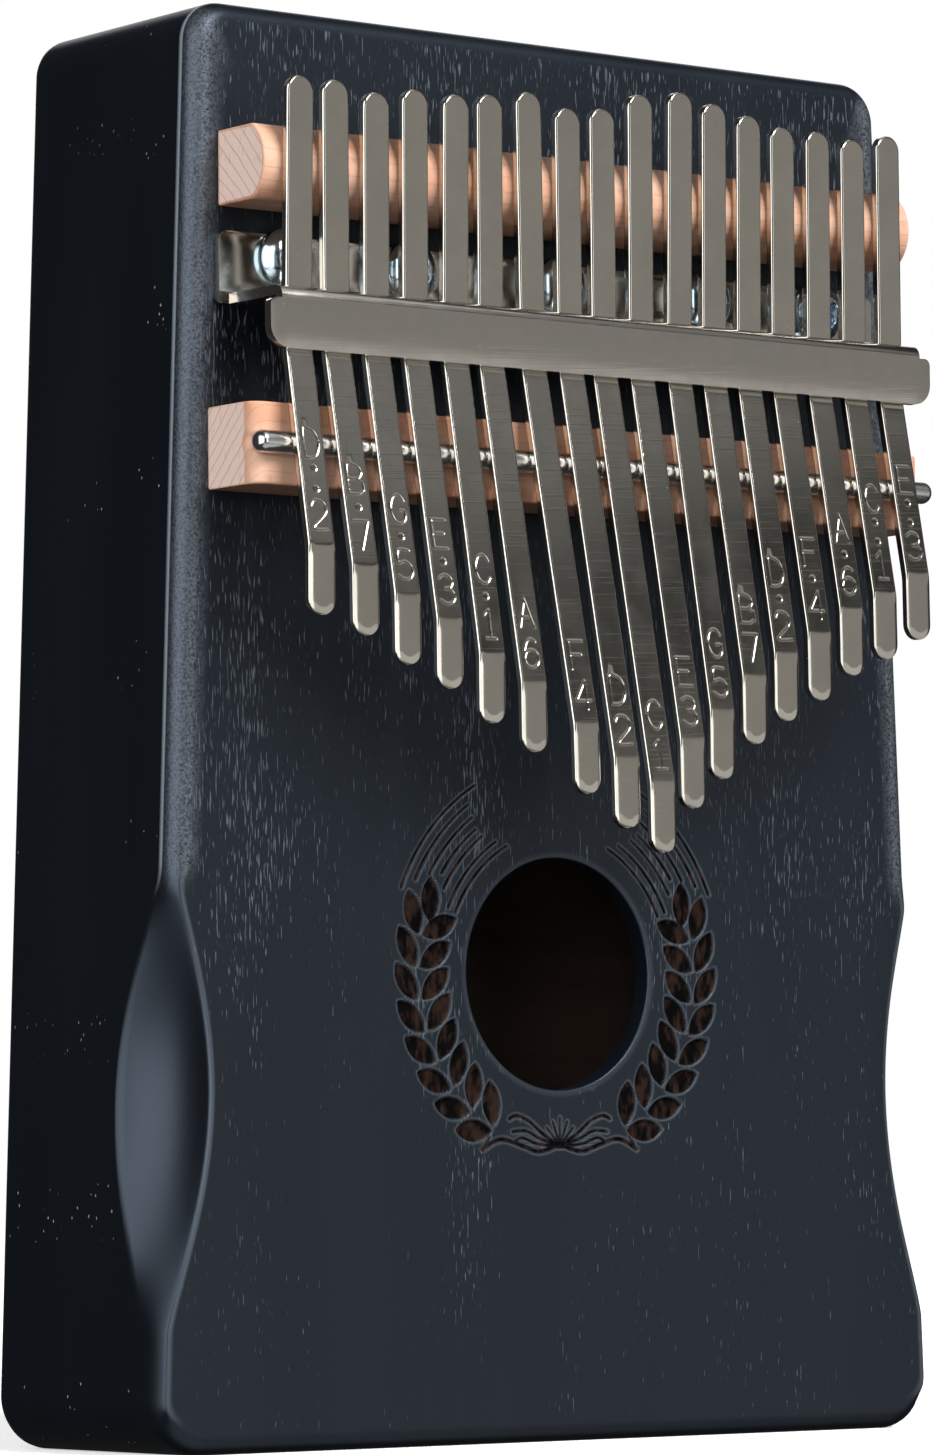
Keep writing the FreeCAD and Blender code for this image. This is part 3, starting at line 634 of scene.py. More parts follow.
@dataclass(frozen=True)
class PlainWood:
    """Unpainted wood with growth rings, end grain and fine fibre."""

    name: str
    pale: tuple
    warm: tuple
    ring: tuple
    cut: tuple
    slant: float = -1.0
    ring_share: float = 0.2
    flecks: float = 0.5

    def build(self) -> bpy.types.Material:
        """Make the material.

        Returns:
            Wood whose rings run through the whole piece, so its ends and its length agree.
        """
        material, wiring, shader = new_material(self.name)
        place = wiring.place()
        rings = wiring.group(ring_group(), {"Vector": place, "Slant": self.slant})
        fibre = wiring.noise(wiring.stretch(place, (320.0, 3600.0, 3600.0)), 1.0, 3.0)
        slow = wiring.noise(wiring.stretch(place, (25.0, 170.0, 170.0)), 1.0, 3.0)
        ends = wiring.mask("end")
        tone = wiring.mix(wiring.step(slow, 0.32, 0.68), self.warm, self.pale)
        tone = wiring.mix(ends, tone, self.cut)
        share = wiring.times(rings.outputs["Line"],
                            wiring.plus(wiring.times(ends, 0.22), self.ring_share))
        tone = wiring.mix(share, tone, self.ring)
        rays = wiring.noise(wiring.stretch(place, (420.0, 2400.0, 420.0)), 1.0, 1.0)
        fleck = wiring.times(wiring.step(rays, 0.62, 0.74), self.flecks)
        tone = wiring.mix(wiring.times(fleck, 0.5), tone, self.ring)
        height = wiring.plus(wiring.times(fibre, 0.8),
                             wiring.times(rings.outputs["Line"], -0.6))
        wiring.feed(shader, {"Base Color": tone, "Roughness": wiring.step(fibre, 0.2, 0.8, 0.52, 0.68),
                             "Normal": wiring.bump(height, 0.35, 0.00008)})
        return material


@dataclass(frozen=True)
class Steel:
    """Plated steel with handling marks."""

    name: str
    tone: tuple
    shade: tuple
    gloss: float
    spread: float
    scratch: float = 0.2
    wave: float = 0.0

    def build(self) -> bpy.types.Material:
        """Make the material.

        Returns:
            Metal whose roughness and tone drift, with hairline scratches and tiny pits.
        """
        material, wiring, shader = new_material(self.name)
        place = wiring.place()
        marks = wiring.group(scratch_group(), {"Vector": place})
        specks = wiring.group(speck_group(), {"Vector": place, "Scale": 900.0, "Thinning": 0.93})
        tone = wiring.mix(wiring.step(marks.outputs["Cloud"], 0.35, 0.7), self.tone, self.shade)
        pressed = wiring.mask("press")
        tone = wiring.mix(wiring.times(pressed, 0.35), tone, colour(0.10, 0.095, 0.09))
        rough = wiring.step(marks.outputs["Cloud"], 0.3, 0.75, self.gloss, self.gloss + self.spread)
        rough = wiring.plus(rough, wiring.times(specks.outputs["Mask"], 0.2))
        lines = wiring.times(wiring.step(marks.outputs["Lines"], 0.55, 0.75), self.scratch)
        ripple = wiring.times(wiring.noise(place, 85.0, 1.0), self.wave)
        height = wiring.plus(wiring.plus(lines, ripple),
                             wiring.times(specks.outputs["Mask"], -0.5))
        wiring.feed(shader, {"Base Color": tone, "Roughness": rough,
                             "Normal": wiring.bump(height, 0.25, 0.00005)})
        shader.inputs["Metallic"].default_value = 1.0
        return material


def wear(piece: bpy.types.Object, *materials: bpy.types.Material) -> None:
    """Give a piece its materials, one a slot.

    Args:
        piece: the piece.
        materials: its materials, in the order of its slots.
    """
    piece.data.materials.clear()
    for material in materials:
        piece.data.materials.append(material)


# ---------------------------------------------------------------------------------------------
# The box
# ---------------------------------------------------------------------------------------------


@dataclass
class Wreath:
    """The engraving about the sound hole: two branches, whiskers above them and a ribbon below.

    Angles are in degrees from straight below the hole, and places are across and up from its
    centre. Everything is drawn once and mirrored.
    """

    stem_radius: float = 23.1
    leaf_length: float = 5.8
    leaf_width: float = 2.75
    first_leaf: float = 29.0
    leaf_step: float = 10.43
    leaf_pairs: int = 8
    outer_turn: float = 28.0
    inner_turn: float = -55.0
    end_turn: float = 16.0
    whiskers: tuple = ((28.0, 113, 151), (26.4, 117, 146), (24.7, 121, 145), (23.1, 124, 144),
                       (21.8, 120, 145), (20.0, 115, 149), (18.7, 115, 153))
    ribbon: tuple = (
        (0.40, ((0.4, -22.5), (3.6, -23.3), (7.0, -22.3), (10.0, -21.7), (12.9, -23.0))),
        (0.16, ((12.9, -23.0), (11.7, -21.4))),
        (0.30, ((0.8, -22.2), (3.0, -20.9), (5.2, -19.3), (7.2, -18.6), (8.4, -19.0))),
        (0.24, ((0.8, -22.3), (3.4, -21.6), (5.6, -20.6), (7.9, -20.7))),
        (0.20, ((1.0, -22.5), (3.8, -22.3), (6.2, -21.5), (7.4, -21.9))),
        (0.15, ((0.0, -21.8), (0.0, -18.9))),
        (0.15, ((0.3, -21.8), (1.2, -19.4))),
        (0.15, ((0.6, -21.9), (2.2, -20.2))),
        (0.85, ((0.0, -22.4), (0.6, -22.4))),
    )

    def leaf_gap(self, across: Array, up: Array, base: Array, way: Array) -> Array:
        """Distance outside a leaf, which is what two equal circles share.

        The circles' centres stand either side of the leaf's midrib, so the leaf has two points.

        Args:
            across: places across, from the hole's centre.
            up: places up, of the same shape.
            base: the leaf's foot.
            way: the way its midrib runs, of length one.

        Returns:
            Distances, less than nothing inside the leaf.
        """
        half_length, half_width = self.leaf_length / 2, self.leaf_width / 2
        radius = (half_length ** 2 + half_width ** 2) / (2 * half_width)
        middle = base + way * half_length
        side = np.array([-way[1], way[0]]) * (radius - half_width)
        left = np.hypot(across - middle[0] - side[0], up - middle[1] - side[1])
        right = np.hypot(across - middle[0] + side[0], up - middle[1] + side[1])
        return np.maximum(left, right) - radius

    def leaves(self) -> list[tuple[Array, Array]]:
        """The base and the way of each leaf of the right branch.

        Returns:
            A pair of places for each leaf, with the branch's end leaf last.
        """
        made = []
        stations = self.first_leaf + self.leaf_step * np.arange(self.leaf_pairs)
        plan = [(angle, turn, reach) for angle in stations
                for turn, reach in ((self.outer_turn, 0.45), (self.inner_turn, -0.35))]
        plan.append((stations[-1] + 5.2, self.end_turn, -1.0))
        for angle, turn, reach in plan:
            way_out = np.array([math.sin(math.radians(angle)), -math.cos(math.radians(angle))])
            heading = math.radians(angle - turn)
            made.append((way_out * (self.stem_radius + reach),
                         np.array([math.cos(heading), math.sin(heading)])))
        return made

    def relief(self, across: Array, up: Array) -> tuple[Array, Array]:
        """Distances outside the leaves, and outside the thin lines.

        Args:
            across: places across, from the hole's centre.
            up: places up, of the same shape.

        Returns:
            The two distances, less than nothing inside.
        """
        across = np.abs(across)
        leaf = np.min([self.leaf_gap(across, up, base, way) for base, way in self.leaves()], axis=0)
        reach = np.hypot(across, up)
        angle = np.degrees(np.arctan2(across, -up))
        lines = []
        for radius, start, end in self.whiskers:
            off = np.radians(np.clip(start - angle, 0, None) + np.clip(angle - end, 0, None)) * radius
            taper = 0.17 - 0.10 * ease(start, end, angle)
            lines.append(np.hypot(reach - radius, off) - taper)
        for width, points in self.ribbon:
            lines.append(stroke_distance(across, up, rounded_run(points)) - width / 2)
        return leaf, np.min(lines, axis=0)


@dataclass
class SoundBox:
    """The hollow box as one closed skin, from the middle of its inside to the middle of its back."""

    half_bottom: float = 64.49
    half_top: float = 57.79
    height: float = 185.0
    front: float = -18.8
    depth: float = 37.6
    bottom_corner: float = 7.0
    top_corner: float = 5.5
    front_round: float = 2.5
    back_round: float = 2.5
    wall: float = 9.0
    board: float = 3.2
    back_board: float = 3.0
    hole_height: float = 61.2
    hole_radius: float = 15.2
    disc_radius: float = 31.0
    leaf_cut: float = 0.42
    line_cut: float = 0.24
    scoop_middle: float = 44.5
    scoop_half: float = 29.3
    scoop_depth: tuple = (6.7, 5.7)
    scoop_reach: float = 11.3
    scoop_foot: float = 4.3
    columns: int = 640
    wreath: Wreath = field(default_factory=Wreath)

    def outline(self) -> RoundedLoop:
        """The outside of the box seen from the front."""
        return RoundedLoop((0.0, 0.0), (
            (self.half_bottom, 0.0, self.bottom_corner), (self.half_top, self.height, self.top_corner),
            (-self.half_top, self.height, self.top_corner), (-self.half_bottom, 0.0, self.bottom_corner)))

    def hollow(self) -> RoundedLoop:
        """The inside of the rim seen from the front.

        Returns:
            The outline.
        """
        low, high = self.half_bottom - self.wall, self.half_top - self.wall
        top = self.height - self.wall
        return RoundedLoop((0.0, self.wall), ((low, self.wall, 1.0), (high, top, 1.0),
                                              (-high, top, 1.0), (-low, self.wall, 1.0)))

    def scoop_share(self, up: Array, normal: Array) -> tuple[Array, Array, Array, Array]:
        """How much of the scoop there is, how far it cuts in, how far back it reaches, and its bowl.

        The bowl is a power of one less the square of the distance from the scoop's middle, so its
        mouth runs out smoothly. Below the scoop a narrow band goes on down to the corner.

        Args:
            up: heights along the outline.
            normal: outward normals there.

        Returns:
            The four arrays, one value a place.
        """
        away = (up - self.scoop_middle) / self.scoop_half
        bowl = np.clip(1.0 - away * away, 0.0, 1.0) ** 1.35
        below = away < 0.0
        foot = np.where(below, self.scoop_foot, 2.6)
        left, right = self.scoop_depth
        deepest = np.where(normal[:, 0] < 0.0, left, right)
        shallow = np.where(below, 1.0, 0.5)
        inset = shallow + (deepest - shallow) * bowl
        reach = foot + (self.scoop_reach - foot) * bowl
        share = np.where(below, ease(0.8, 6.5, up), ease(1.06, 0.86, away))
        return share * ease(0.60, 0.98, np.abs(normal[:, 0])), inset, reach, bowl

    def weight(self, places: Array, normals: Array) -> Array:
        """Closer columns round the corners and along the scoops.

        Args:
            places: places along the outline.
            normals: outward normals there.

        Returns:
            The density of columns at each place.
        """
        cornering = 1.0 - np.maximum(np.abs(normals[:, 0]), np.abs(normals[:, 1]))
        beside = np.abs(places[:, 0]) > 40.0
        scooped = beside * ease(80.0, 70.0, places[:, 1])
        return 1.0 + 9.0 * ease(0.0005, 0.02, cornering) * 0.3 + 0.9 * scooped

    def edge_rows(self, up: Array, normal: Array) -> tuple[Array, Array, Array]:
        """The edge between the front and the sides, as inset and depth from the outline.

        Where there is no scoop it is a quarter of a circle. In a scoop it starts with a small round,
        then runs back in a curve: a straight line from the front's edge to the side, plus a
        parabola that bows into the wood in the bowl and out of it below.

        Args:
            up: heights along the outline.
            normal: outward normals there.

        Returns:
            Insets and depths, one row for each step of the edge, and the share of the scoop.
        """
        share, inset, reach, bowl = self.scoop_share(up, normal)
        quarter = np.radians(np.linspace(0.0, 90.0, 15))[:, None]
        plain_inset = self.front_round * (1.0 - np.sin(quarter)) + 0.0 * inset
        plain_depth = self.front_round * (1.0 - np.cos(quarter)) + 0.0 * inset
        small = 0.42
        along = np.concatenate([[0.0, 0.0, 0.0], np.linspace(0.055, 1.0, 12)])[:, None]
        chord = np.hypot(inset, reach)
        bow = 4.0 * (0.20 * bowl - 0.08) * chord * along * (1.0 - along)
        scoop_inset = inset * (1.0 - along) + bow * reach / chord
        scoop_depth = reach * along + bow * inset / chord
        start_inset, start_depth = scoop_inset[3].copy(), scoop_depth[3].copy()
        for row, step in enumerate((0.0, 0.38, 0.74)):
            scoop_inset[row] = ((1 - step) ** 2 * (inset + small) + 2 * step * (1 - step) * inset
                                + step ** 2 * start_inset)
            scoop_depth[row] = step ** 2 * start_depth
        mixed_inset = plain_inset + (scoop_inset - plain_inset) * share
        mixed_depth = plain_depth + (scoop_depth - plain_depth) * share
        return mixed_inset, mixed_depth, share

    def build(self) -> tuple[bpy.types.Object, int]:
        """Work out the skin.

        Rows of points follow one line from the inside of the back, along the inside, out through
        the hole, over the front, round the edge, back along the side and over the back. Each row
        goes once round the box. Rows between two outlines are straight blends of them.

        Returns:
            The piece, and the number of its faces that are inside.
        """
        count = self.columns
        outer = self.outline()
        spots, normals = outer.at(outer.spread(count, self.weight))
        inner_loop = self.hollow()
        inner, _ = inner_loop.at(np.arange(count) / count * inner_loop.length)
        turn = 2 * math.pi * np.arange(count) / count
        ray = np.stack([np.sin(turn), -np.cos(turn)], axis=-1)
        hole = np.array([0.0, self.hole_height])
        back = self.front + self.depth
        under, inside_back = self.front + self.board, back - self.back_board
        rows: list[tuple[Array, Union[Array, float]]] = []
        for share in (0.12, 0.45, 0.8, 0.985, 1.0):
            rows.append((hole + (inner - hole) * share, inside_back))
        for depth in (inside_back - 0.4, 8.0, 0.0, -8.0, under + 0.4, under):
            rows.append((inner, depth))
        wide = hole + ray * (self.hole_radius + 0.4)
        for share in (0.015, 0.3, 0.65, 0.9, 1.0):
            rows.append((inner + (wide - inner) * share, under))
        inside_rows = len(rows)
        small = 0.35
        for angle in np.radians((30.0, 60.0, 90.0)):
            reach = self.hole_radius + small * (1 - math.sin(angle))
            rows.append((hole + ray * reach, under - small * (1 - math.cos(angle))))
        for depth in (-0.75, -1.45, -2.2):
            rows.append((hole + ray * self.hole_radius, under + depth))
        for angle in np.radians((0.0, 22.5, 45.0, 67.5, 90.0)):
            reach = self.hole_radius + small * (1 - math.cos(angle))
            rows.append((hole + ray * reach, self.front + small * (1 - math.sin(angle))))
        first_disc = len(rows)
        reaches = np.concatenate([[15.75, 16.3, 17.0], np.arange(17.6, 28.9, 0.195), [29.2, 30.0, 31.0]])
        for reach in reaches:
            rows.append((hole + ray * reach, self.front))
        last_disc = len(rows)
        insets, depths, share = self.edge_rows(spots[:, 1], normals)
        rim = spots - normals * insets[0][:, None]
        disc = hole + ray * self.disc_radius
        for part in (0.08, 0.25, 0.45, 0.65, 0.82, 0.93, 0.985):
            rows.append((disc + (rim - disc) * part, self.front))
        first_edge = len(rows)
        for inset, depth in zip(insets, depths):
            rows.append((spots - normals * inset[:, None], self.front + depth))
        last_edge = len(rows)
        side_end = self.depth - self.back_round
        for part in (0.02, 0.08, 0.25, 0.5, 0.75, 0.94, 0.985, 1.0):
            rows.append((spots, self.front + depths[-1] + (side_end - depths[-1]) * part))
        first_back = len(rows)
        for angle in np.radians((18.0, 36.0, 54.0, 72.0, 90.0)):
            inset = self.back_round * (1 - math.cos(angle))
            rows.append((spots - normals * inset, back - self.back_round * (1 - math.sin(angle))))
        flat_edge = spots - normals * self.back_round
        centre = np.array([0.0, self.height / 2])
        for part in (0.012, 0.1, 0.4, 0.75):
            rows.append((flat_edge + (centre - flat_edge) * part, back))
        points = np.zeros((len(rows), count, 3))
        for index, (flat_places, depth) in enumerate(rows):
            points[index, :, 0] = flat_places[:, 0]
            points[index, :, 1] = depth
            points[index, :, 2] = flat_places[:, 1]
        masks = {name: np.zeros((len(rows), count)) for name in ("flat", "edge", "side", "burn", "rim")}
        masks["flat"][first_disc:first_edge + 1] = 1.0
        masks["flat"][first_back + 5:] = 1.0
        upright = ease(0.3, 0.8, np.abs(normals[:, 0]))
        above = upright * (1.0 - share) * ease(62.0, 76.0, spots[:, 1])
        masks["edge"][first_edge:last_edge] = above * np.linspace(1.0, 0.4, last_edge - first_edge)[:, None]
        masks["edge"][first_edge - 1] = 0.6 * above
        masks["side"][last_edge + 1:first_back] = upright
        # The rim mask is a painted highlight: a pale line along the scoop's front edge, along the side end of
        # the upper rounded edges, and round the sound hole's edge.
        masks["rim"][first_edge:first_edge + 2] += share * 0.13
        masks["rim"][last_edge - 1] += above
        masks["rim"][first_disc - 2:first_disc + 1] += 0.05
        self.engrave(points, masks, slice(first_disc, last_disc), hole)
        hubs = np.array([[0.0, inside_back, self.hole_height], [0.0, back, self.height / 2]])
        return self.assemble(points, masks, hubs, inside_rows)

    def engrave(self, points: Array, masks: dict[str, Array], disc: slice, hole: Array) -> None:
        """Sink the wreath into the disc's rows, and mark its burnt floor and a painted highlight round its
        outlines.

        Args:
            points: all the skin's places, which are changed.
            masks: the masks, which are changed.
            disc: the rows that make the disc.
            hole: the hole's centre.
        """
        across = points[disc, :, 0] - hole[0]
        up = points[disc, :, 2] - hole[1]
        leaf, line = self.wreath.relief(across, up)
        leaf_floor, line_floor = ease(0.10, -0.14, leaf), ease(0.13, -0.10, line)
        points[disc, :, 1] += np.maximum(self.leaf_cut * leaf_floor, self.line_cut * line_floor)
        masks["burn"][disc] = np.maximum(ease(0.10, -0.04, leaf), ease(0.14, -0.02, line))
        # Painted highlight: a thin pale band just outside the leaves and lines, on the rim mask.
        pale = np.exp(-((np.minimum(leaf, line) - 0.22) / 0.11) ** 2)
        masks["rim"][disc] = np.maximum(masks["rim"][disc], 0.16 * pale)

    @staticmethod
    def assemble(points: Array, masks: dict[str, Array], hubs: Array,
                 inside_rows: int) -> tuple[bpy.types.Object, int]:
        """Join the rows and the two hubs into the piece.

        Args:
            points: the places, by row and column.
            masks: the masks, by row and column.
            hubs: the first and the last middle.
            inside_rows: number of rows on the inside.

        Returns:
            The piece, and the number of its faces that are inside.
        """
        row_count, count = points.shape[:2]
        ends = {"flat": (0.0, 1.0)}
        flat_masks = {name: np.concatenate([values.ravel(), ends.get(name, (0.0, 0.0))])
                      for name, values in masks.items()}
        piece = make_piece("sound_box", np.vstack([points.reshape(-1, 3), hubs]),
                           capped_faces(row_count, count), flat_masks)
        return piece, count + (inside_rows - 1) * count

    def dress(self, paint: bpy.types.Material, bare: bpy.types.Material) -> bpy.types.Object:
        """Build the box, paint its outside, and leave its inside bare in raw wood darkened as painted shade.

        Args:
            paint: the outside's material.
            bare: the inside's material, raw wood darkened as painted shade.

        Returns:
            The piece, riding on the box's body in place of its six boards.
        """
        piece, inside_faces = self.build()
        wear(piece, paint, bare)
        which = np.zeros(len(piece.data.polygons), dtype=np.int32)
        which[:inside_faces] = 1
        piece.data.polygons.foreach_set("material_index", which)
        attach(piece, Body.BOX.value)
        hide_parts("soundboard", "left_side", "right_side", "top_end", "bottom_end", "back_board")
        return piece


# ---------------------------------------------------------------------------------------------
# Bars and rod
# ---------------------------------------------------------------------------------------------


def swept_bar(name: str, section: Callable[[float], Array], stations: Sequence[float]) -> bpy.types.Object:
    """A profile carried along X, closed with a flat end at each side.

    Args:
        name: the piece's name.
        section: gives the profile's depth and height at a place along X, the same number of points
            at every place.
        stations: places along X.

    Returns:
        The piece, with its ends marked in the mask "end".
    """
    loops = [section(station) for station in stations]
    count = len(loops[0])
    ends = []
    for loop, station in ((loops[0], stations[0]), (loops[-1], stations[-1])):
        middle = loop.mean(axis=0)
        ends.append([(middle + (loop - middle) * share, station) for share in (0.96, 0.5)])
    rows = [*ends[0][::-1], *zip(loops, stations), *ends[1]]
    points = np.array([np.column_stack([np.full(count, station), loop]) for loop, station in rows])
    hubs = np.array([[station, *loop.mean(axis=0)] for loop, station in
                     ((loops[0], stations[0]), (loops[-1], stations[-1]))])
    mask = np.zeros((len(rows), count))
    mask[:2] = mask[-2:] = 1.0
    masks = {"end": np.concatenate([mask.ravel(), [1.0, 1.0]])}
    return make_piece(name, np.vstack([points.reshape(-1, 3), hubs]), capped_faces(len(rows), count), masks)


@dataclass
class RearBar:
    """The arched beech bar under the tines' upper ends."""

    shoulder: float = 7.6
    softening: float = 0.35

    def build(self, wood: bpy.types.Material) -> bpy.types.Object:
        """Carry the arched profile along the bar.

        The profile is a flat foot, two upright shoulders and an arc of a circle over them, its
        corners eased. Near the ends it draws in by the easing.

        Args:
            wood: the bar's material.

        Returns:
            The piece, riding on the box's body.
        """
        low, high = (np.array(corner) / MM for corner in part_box("rear_bar"))
        front, foot = low[1], high[1]
        half_width = (high[2] - low[2]) / 2
        middle = (high[2] + low[2]) / 2
        rise = foot - front
        sagitta = rise - self.shoulder
        radius = (half_width ** 2 + sagitta ** 2) / (2 * sagitta)
        sweep = math.asin(half_width / radius) * 0.985
        angles = np.linspace(-sweep, sweep, 34)
        arch = np.column_stack([front + radius - radius * np.cos(angles), middle + radius * np.sin(angles)])
        soft = 0.25
        turn = np.radians(np.linspace(0, 90, 4))
        shoulder = foot - self.shoulder
        upper = np.array([[shoulder + 0.5, high[2]], [shoulder + 3.5, high[2]], [foot - 0.6, high[2]]])
        corner = np.column_stack([foot - soft + soft * np.sin(turn), high[2] - soft + soft * np.cos(turn)])
        lower_corner = np.column_stack([foot - soft + soft * np.cos(turn),
                                        low[2] + soft - soft * np.sin(turn)])
        lower = upper[::-1] * [1, 0] + [0, low[2]]
        loop = np.vstack([arch, upper, corner, lower_corner, lower])
        pull = loop - loop.mean(axis=0)
        inward = -pull / np.linalg.norm(pull, axis=1)[:, None]
        ease_in = self.softening

        def section(station: float) -> Array:
            """The profile, drawn in towards its middle by a small round at the ends.

            Args:
                station: a place along X.

            Returns:
                The profile's depths and heights.
            """
            off = max(0.0, ease_in - min(station - low[0], high[0] - station))
            return loop + inward * (ease_in - math.sqrt(max(ease_in ** 2 - off ** 2, 0.0)))

        ends = ease_in * (1 - np.cos(np.radians((0, 25, 50, 75, 90))))
        stations = np.concatenate([low[0] + ends, [low[0] + 1.0], np.linspace(low[0] + 4, high[0] - 4, 25),
                                   [high[0] - 1.0], high[0] - ends[::-1]])
        piece = swept_bar("rear_bar_beech", section, stations)
        wear(piece, wood)
        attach(piece, Body.BOX.value)
        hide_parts("rear_bar")
        return piece


@dataclass
class FrontBar:
    """The square beech bar that beds the rod."""

    rod_radius: float = 1.5
    bedding: float = 0.65
    end_corner: float = 2.0

    def build(self, wood: bpy.types.Material) -> bpy.types.Object:
        """Carry the grooved profile along the bar.

        The profile is a rectangle with eased corners and a round groove in its face. Towards each
        end the face draws back along a quarter of a circle.

        Args:
            wood: the bar's material.

        Returns:
            The piece, riding on the box's body.
        """
        low, high = (np.array(corner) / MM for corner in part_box("front_bar"))
        face, foot = low[1], high[1]
        middle = (high[2] + low[2]) / 2
        half = (high[2] - low[2]) / 2
        reach = math.acos((self.rod_radius - self.bedding) / self.rod_radius)
        groove_angles = np.linspace(-reach, reach, 11)
        axis = face - self.rod_radius + self.bedding
        groove = np.column_stack([axis + self.rod_radius * np.cos(groove_angles),
                                  middle + self.rod_radius * np.sin(groove_angles)])
        soft = 0.4
        turn = np.radians(np.linspace(0, 90, 5))
        corner = np.column_stack([face + soft - soft * np.cos(turn), half - soft + soft * np.sin(turn)])
        edge = 1.6
        upper = np.vstack([[[face, edge]], [[face, 3.4]], corner,
                           [[face + 3.0, half], [foot - 3.0, half], [foot - 0.3, half], [foot, half - 0.3]]])
        upper[:, 1] += middle
        lower = upper[::-1].copy()
        lower[:, 1] = 2 * middle - lower[:, 1]
        loop = np.vstack([groove, upper, lower])
        corner_round = self.end_corner

        def section(station: float) -> Array:
            """The profile with its face drawn back near the ends.

            Args:
                station: a place along X.

            Returns:
                The profile's depths and heights.
            """
            off = max(0.0, corner_round - min(station - low[0], high[0] - station))
            drawn = corner_round - math.sqrt(max(corner_round ** 2 - off ** 2, 0.0))
            scale = (foot - face - drawn) / (foot - face)
            return np.column_stack([foot - (foot - loop[:, 0]) * scale, loop[:, 1]])

        ends = corner_round * (1 - np.cos(np.radians((8, 20, 32, 44, 56, 68, 80, 90))))
        ends[0] = 0.0
        stations = np.concatenate([low[0] + ends, np.linspace(low[0] + 5, high[0] - 5, 25),
                                   high[0] - ends[::-1]])
        piece = swept_bar("front_bar_beech", section, stations)
        wear(piece, wood)
        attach(piece, Body.BOX.value)
        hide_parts("front_bar")
        return piece


@dataclass
class BridgeRod:
    """The polished rod under the tines."""

    dome: float = 1.28
    around: int = 40

    def build(self, steel: bpy.types.Material) -> bpy.types.Object:
        """Turn the rod: a cylinder whose ends close along a quarter of an ellipse.

        Args:
            steel: the rod's material.

        Returns:
            The piece, riding on the box's body.
        """
        low, high = (np.array(corner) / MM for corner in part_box("rod"))
        radius = (high[2] - low[2]) / 2
        depth, height = (high[1] + low[1]) / 2, (high[2] + low[2]) / 2
        angles = np.radians((3, 12, 24, 38, 52, 66, 78, 90))
        closing = self.dome * (1 - np.cos(angles))
        stations = np.concatenate([low[0] + closing, np.linspace(low[0] + 3, high[0] - 3, 40),
                                   high[0] - closing[::-1]])
        sizes = np.concatenate([radius * np.sin(angles) ** 0.8, np.full(40, radius),
                                radius * np.sin(angles[::-1]) ** 0.8])
        turn = 2 * math.pi * np.arange(self.around) / self.around
        points = np.empty((len(stations), self.around, 3))
        points[:, :, 0] = stations[:, None]
        points[:, :, 1] = depth + sizes[:, None] * np.cos(turn)
        points[:, :, 2] = height + sizes[:, None] * np.sin(turn)
        hubs = np.array([[low[0], depth, height], [high[0], depth, height]])
        piece = make_piece("bridge_rod", np.vstack([points.reshape(-1, 3), hubs]),
                           capped_faces(len(stations), self.around))
        wear(piece, steel)
        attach(piece, Body.BOX.value)
        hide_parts("rod")
        return piece


# ---------------------------------------------------------------------------------------------
# Bracket and screws
# ---------------------------------------------------------------------------------------------


@dataclass
class Bracket:
    """The bent steel strip that presses the tines down."""

    easing: float = 0.38
    sharp: float = 35.0

    def build(self, steel: bpy.types.Material) -> bpy.types.Object:
        """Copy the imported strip, weld it, join its flat faces and ease its sharp edges.

        Args:
            steel: the bracket's material.

        Returns:
            The piece, riding on the box's body.
        """
        mesh = frame["nodes"]["bracket"].data.copy()
        mesh.name = "tine_bracket"
        shell = bmesh.new()
        shell.from_mesh(mesh)
        bmesh.ops.remove_doubles(shell, verts=shell.verts, dist=2e-6)
        bmesh.ops.dissolve_limit(shell, angle_limit=math.radians(0.6), verts=shell.verts, edges=shell.edges)
        edges = [edge for edge in shell.edges if len(edge.link_faces) == 2
                 and edge.calc_face_angle(0.0) > math.radians(self.sharp)]
        bmesh.ops.bevel(shell, geom=edges, offset=self.easing * MM, segments=3, profile=0.5,
                        affect="EDGES", clamp_overlap=True)
        bmesh.ops.triangulate(shell, faces=[face for face in shell.faces if len(face.verts) > 4])
        shell.to_mesh(mesh)
        shell.free()
        mesh.polygons.foreach_set("use_smooth", np.ones(len(mesh.polygons), dtype=bool))
        mesh.set_sharp_from_angle(angle=math.radians(28.0))
        piece = bpy.data.objects.new("tine_bracket", mesh)
        bpy.context.scene.collection.objects.link(piece)
        wear(piece, steel)
        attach(piece, Body.BOX.value)
        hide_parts("bracket")
        return piece


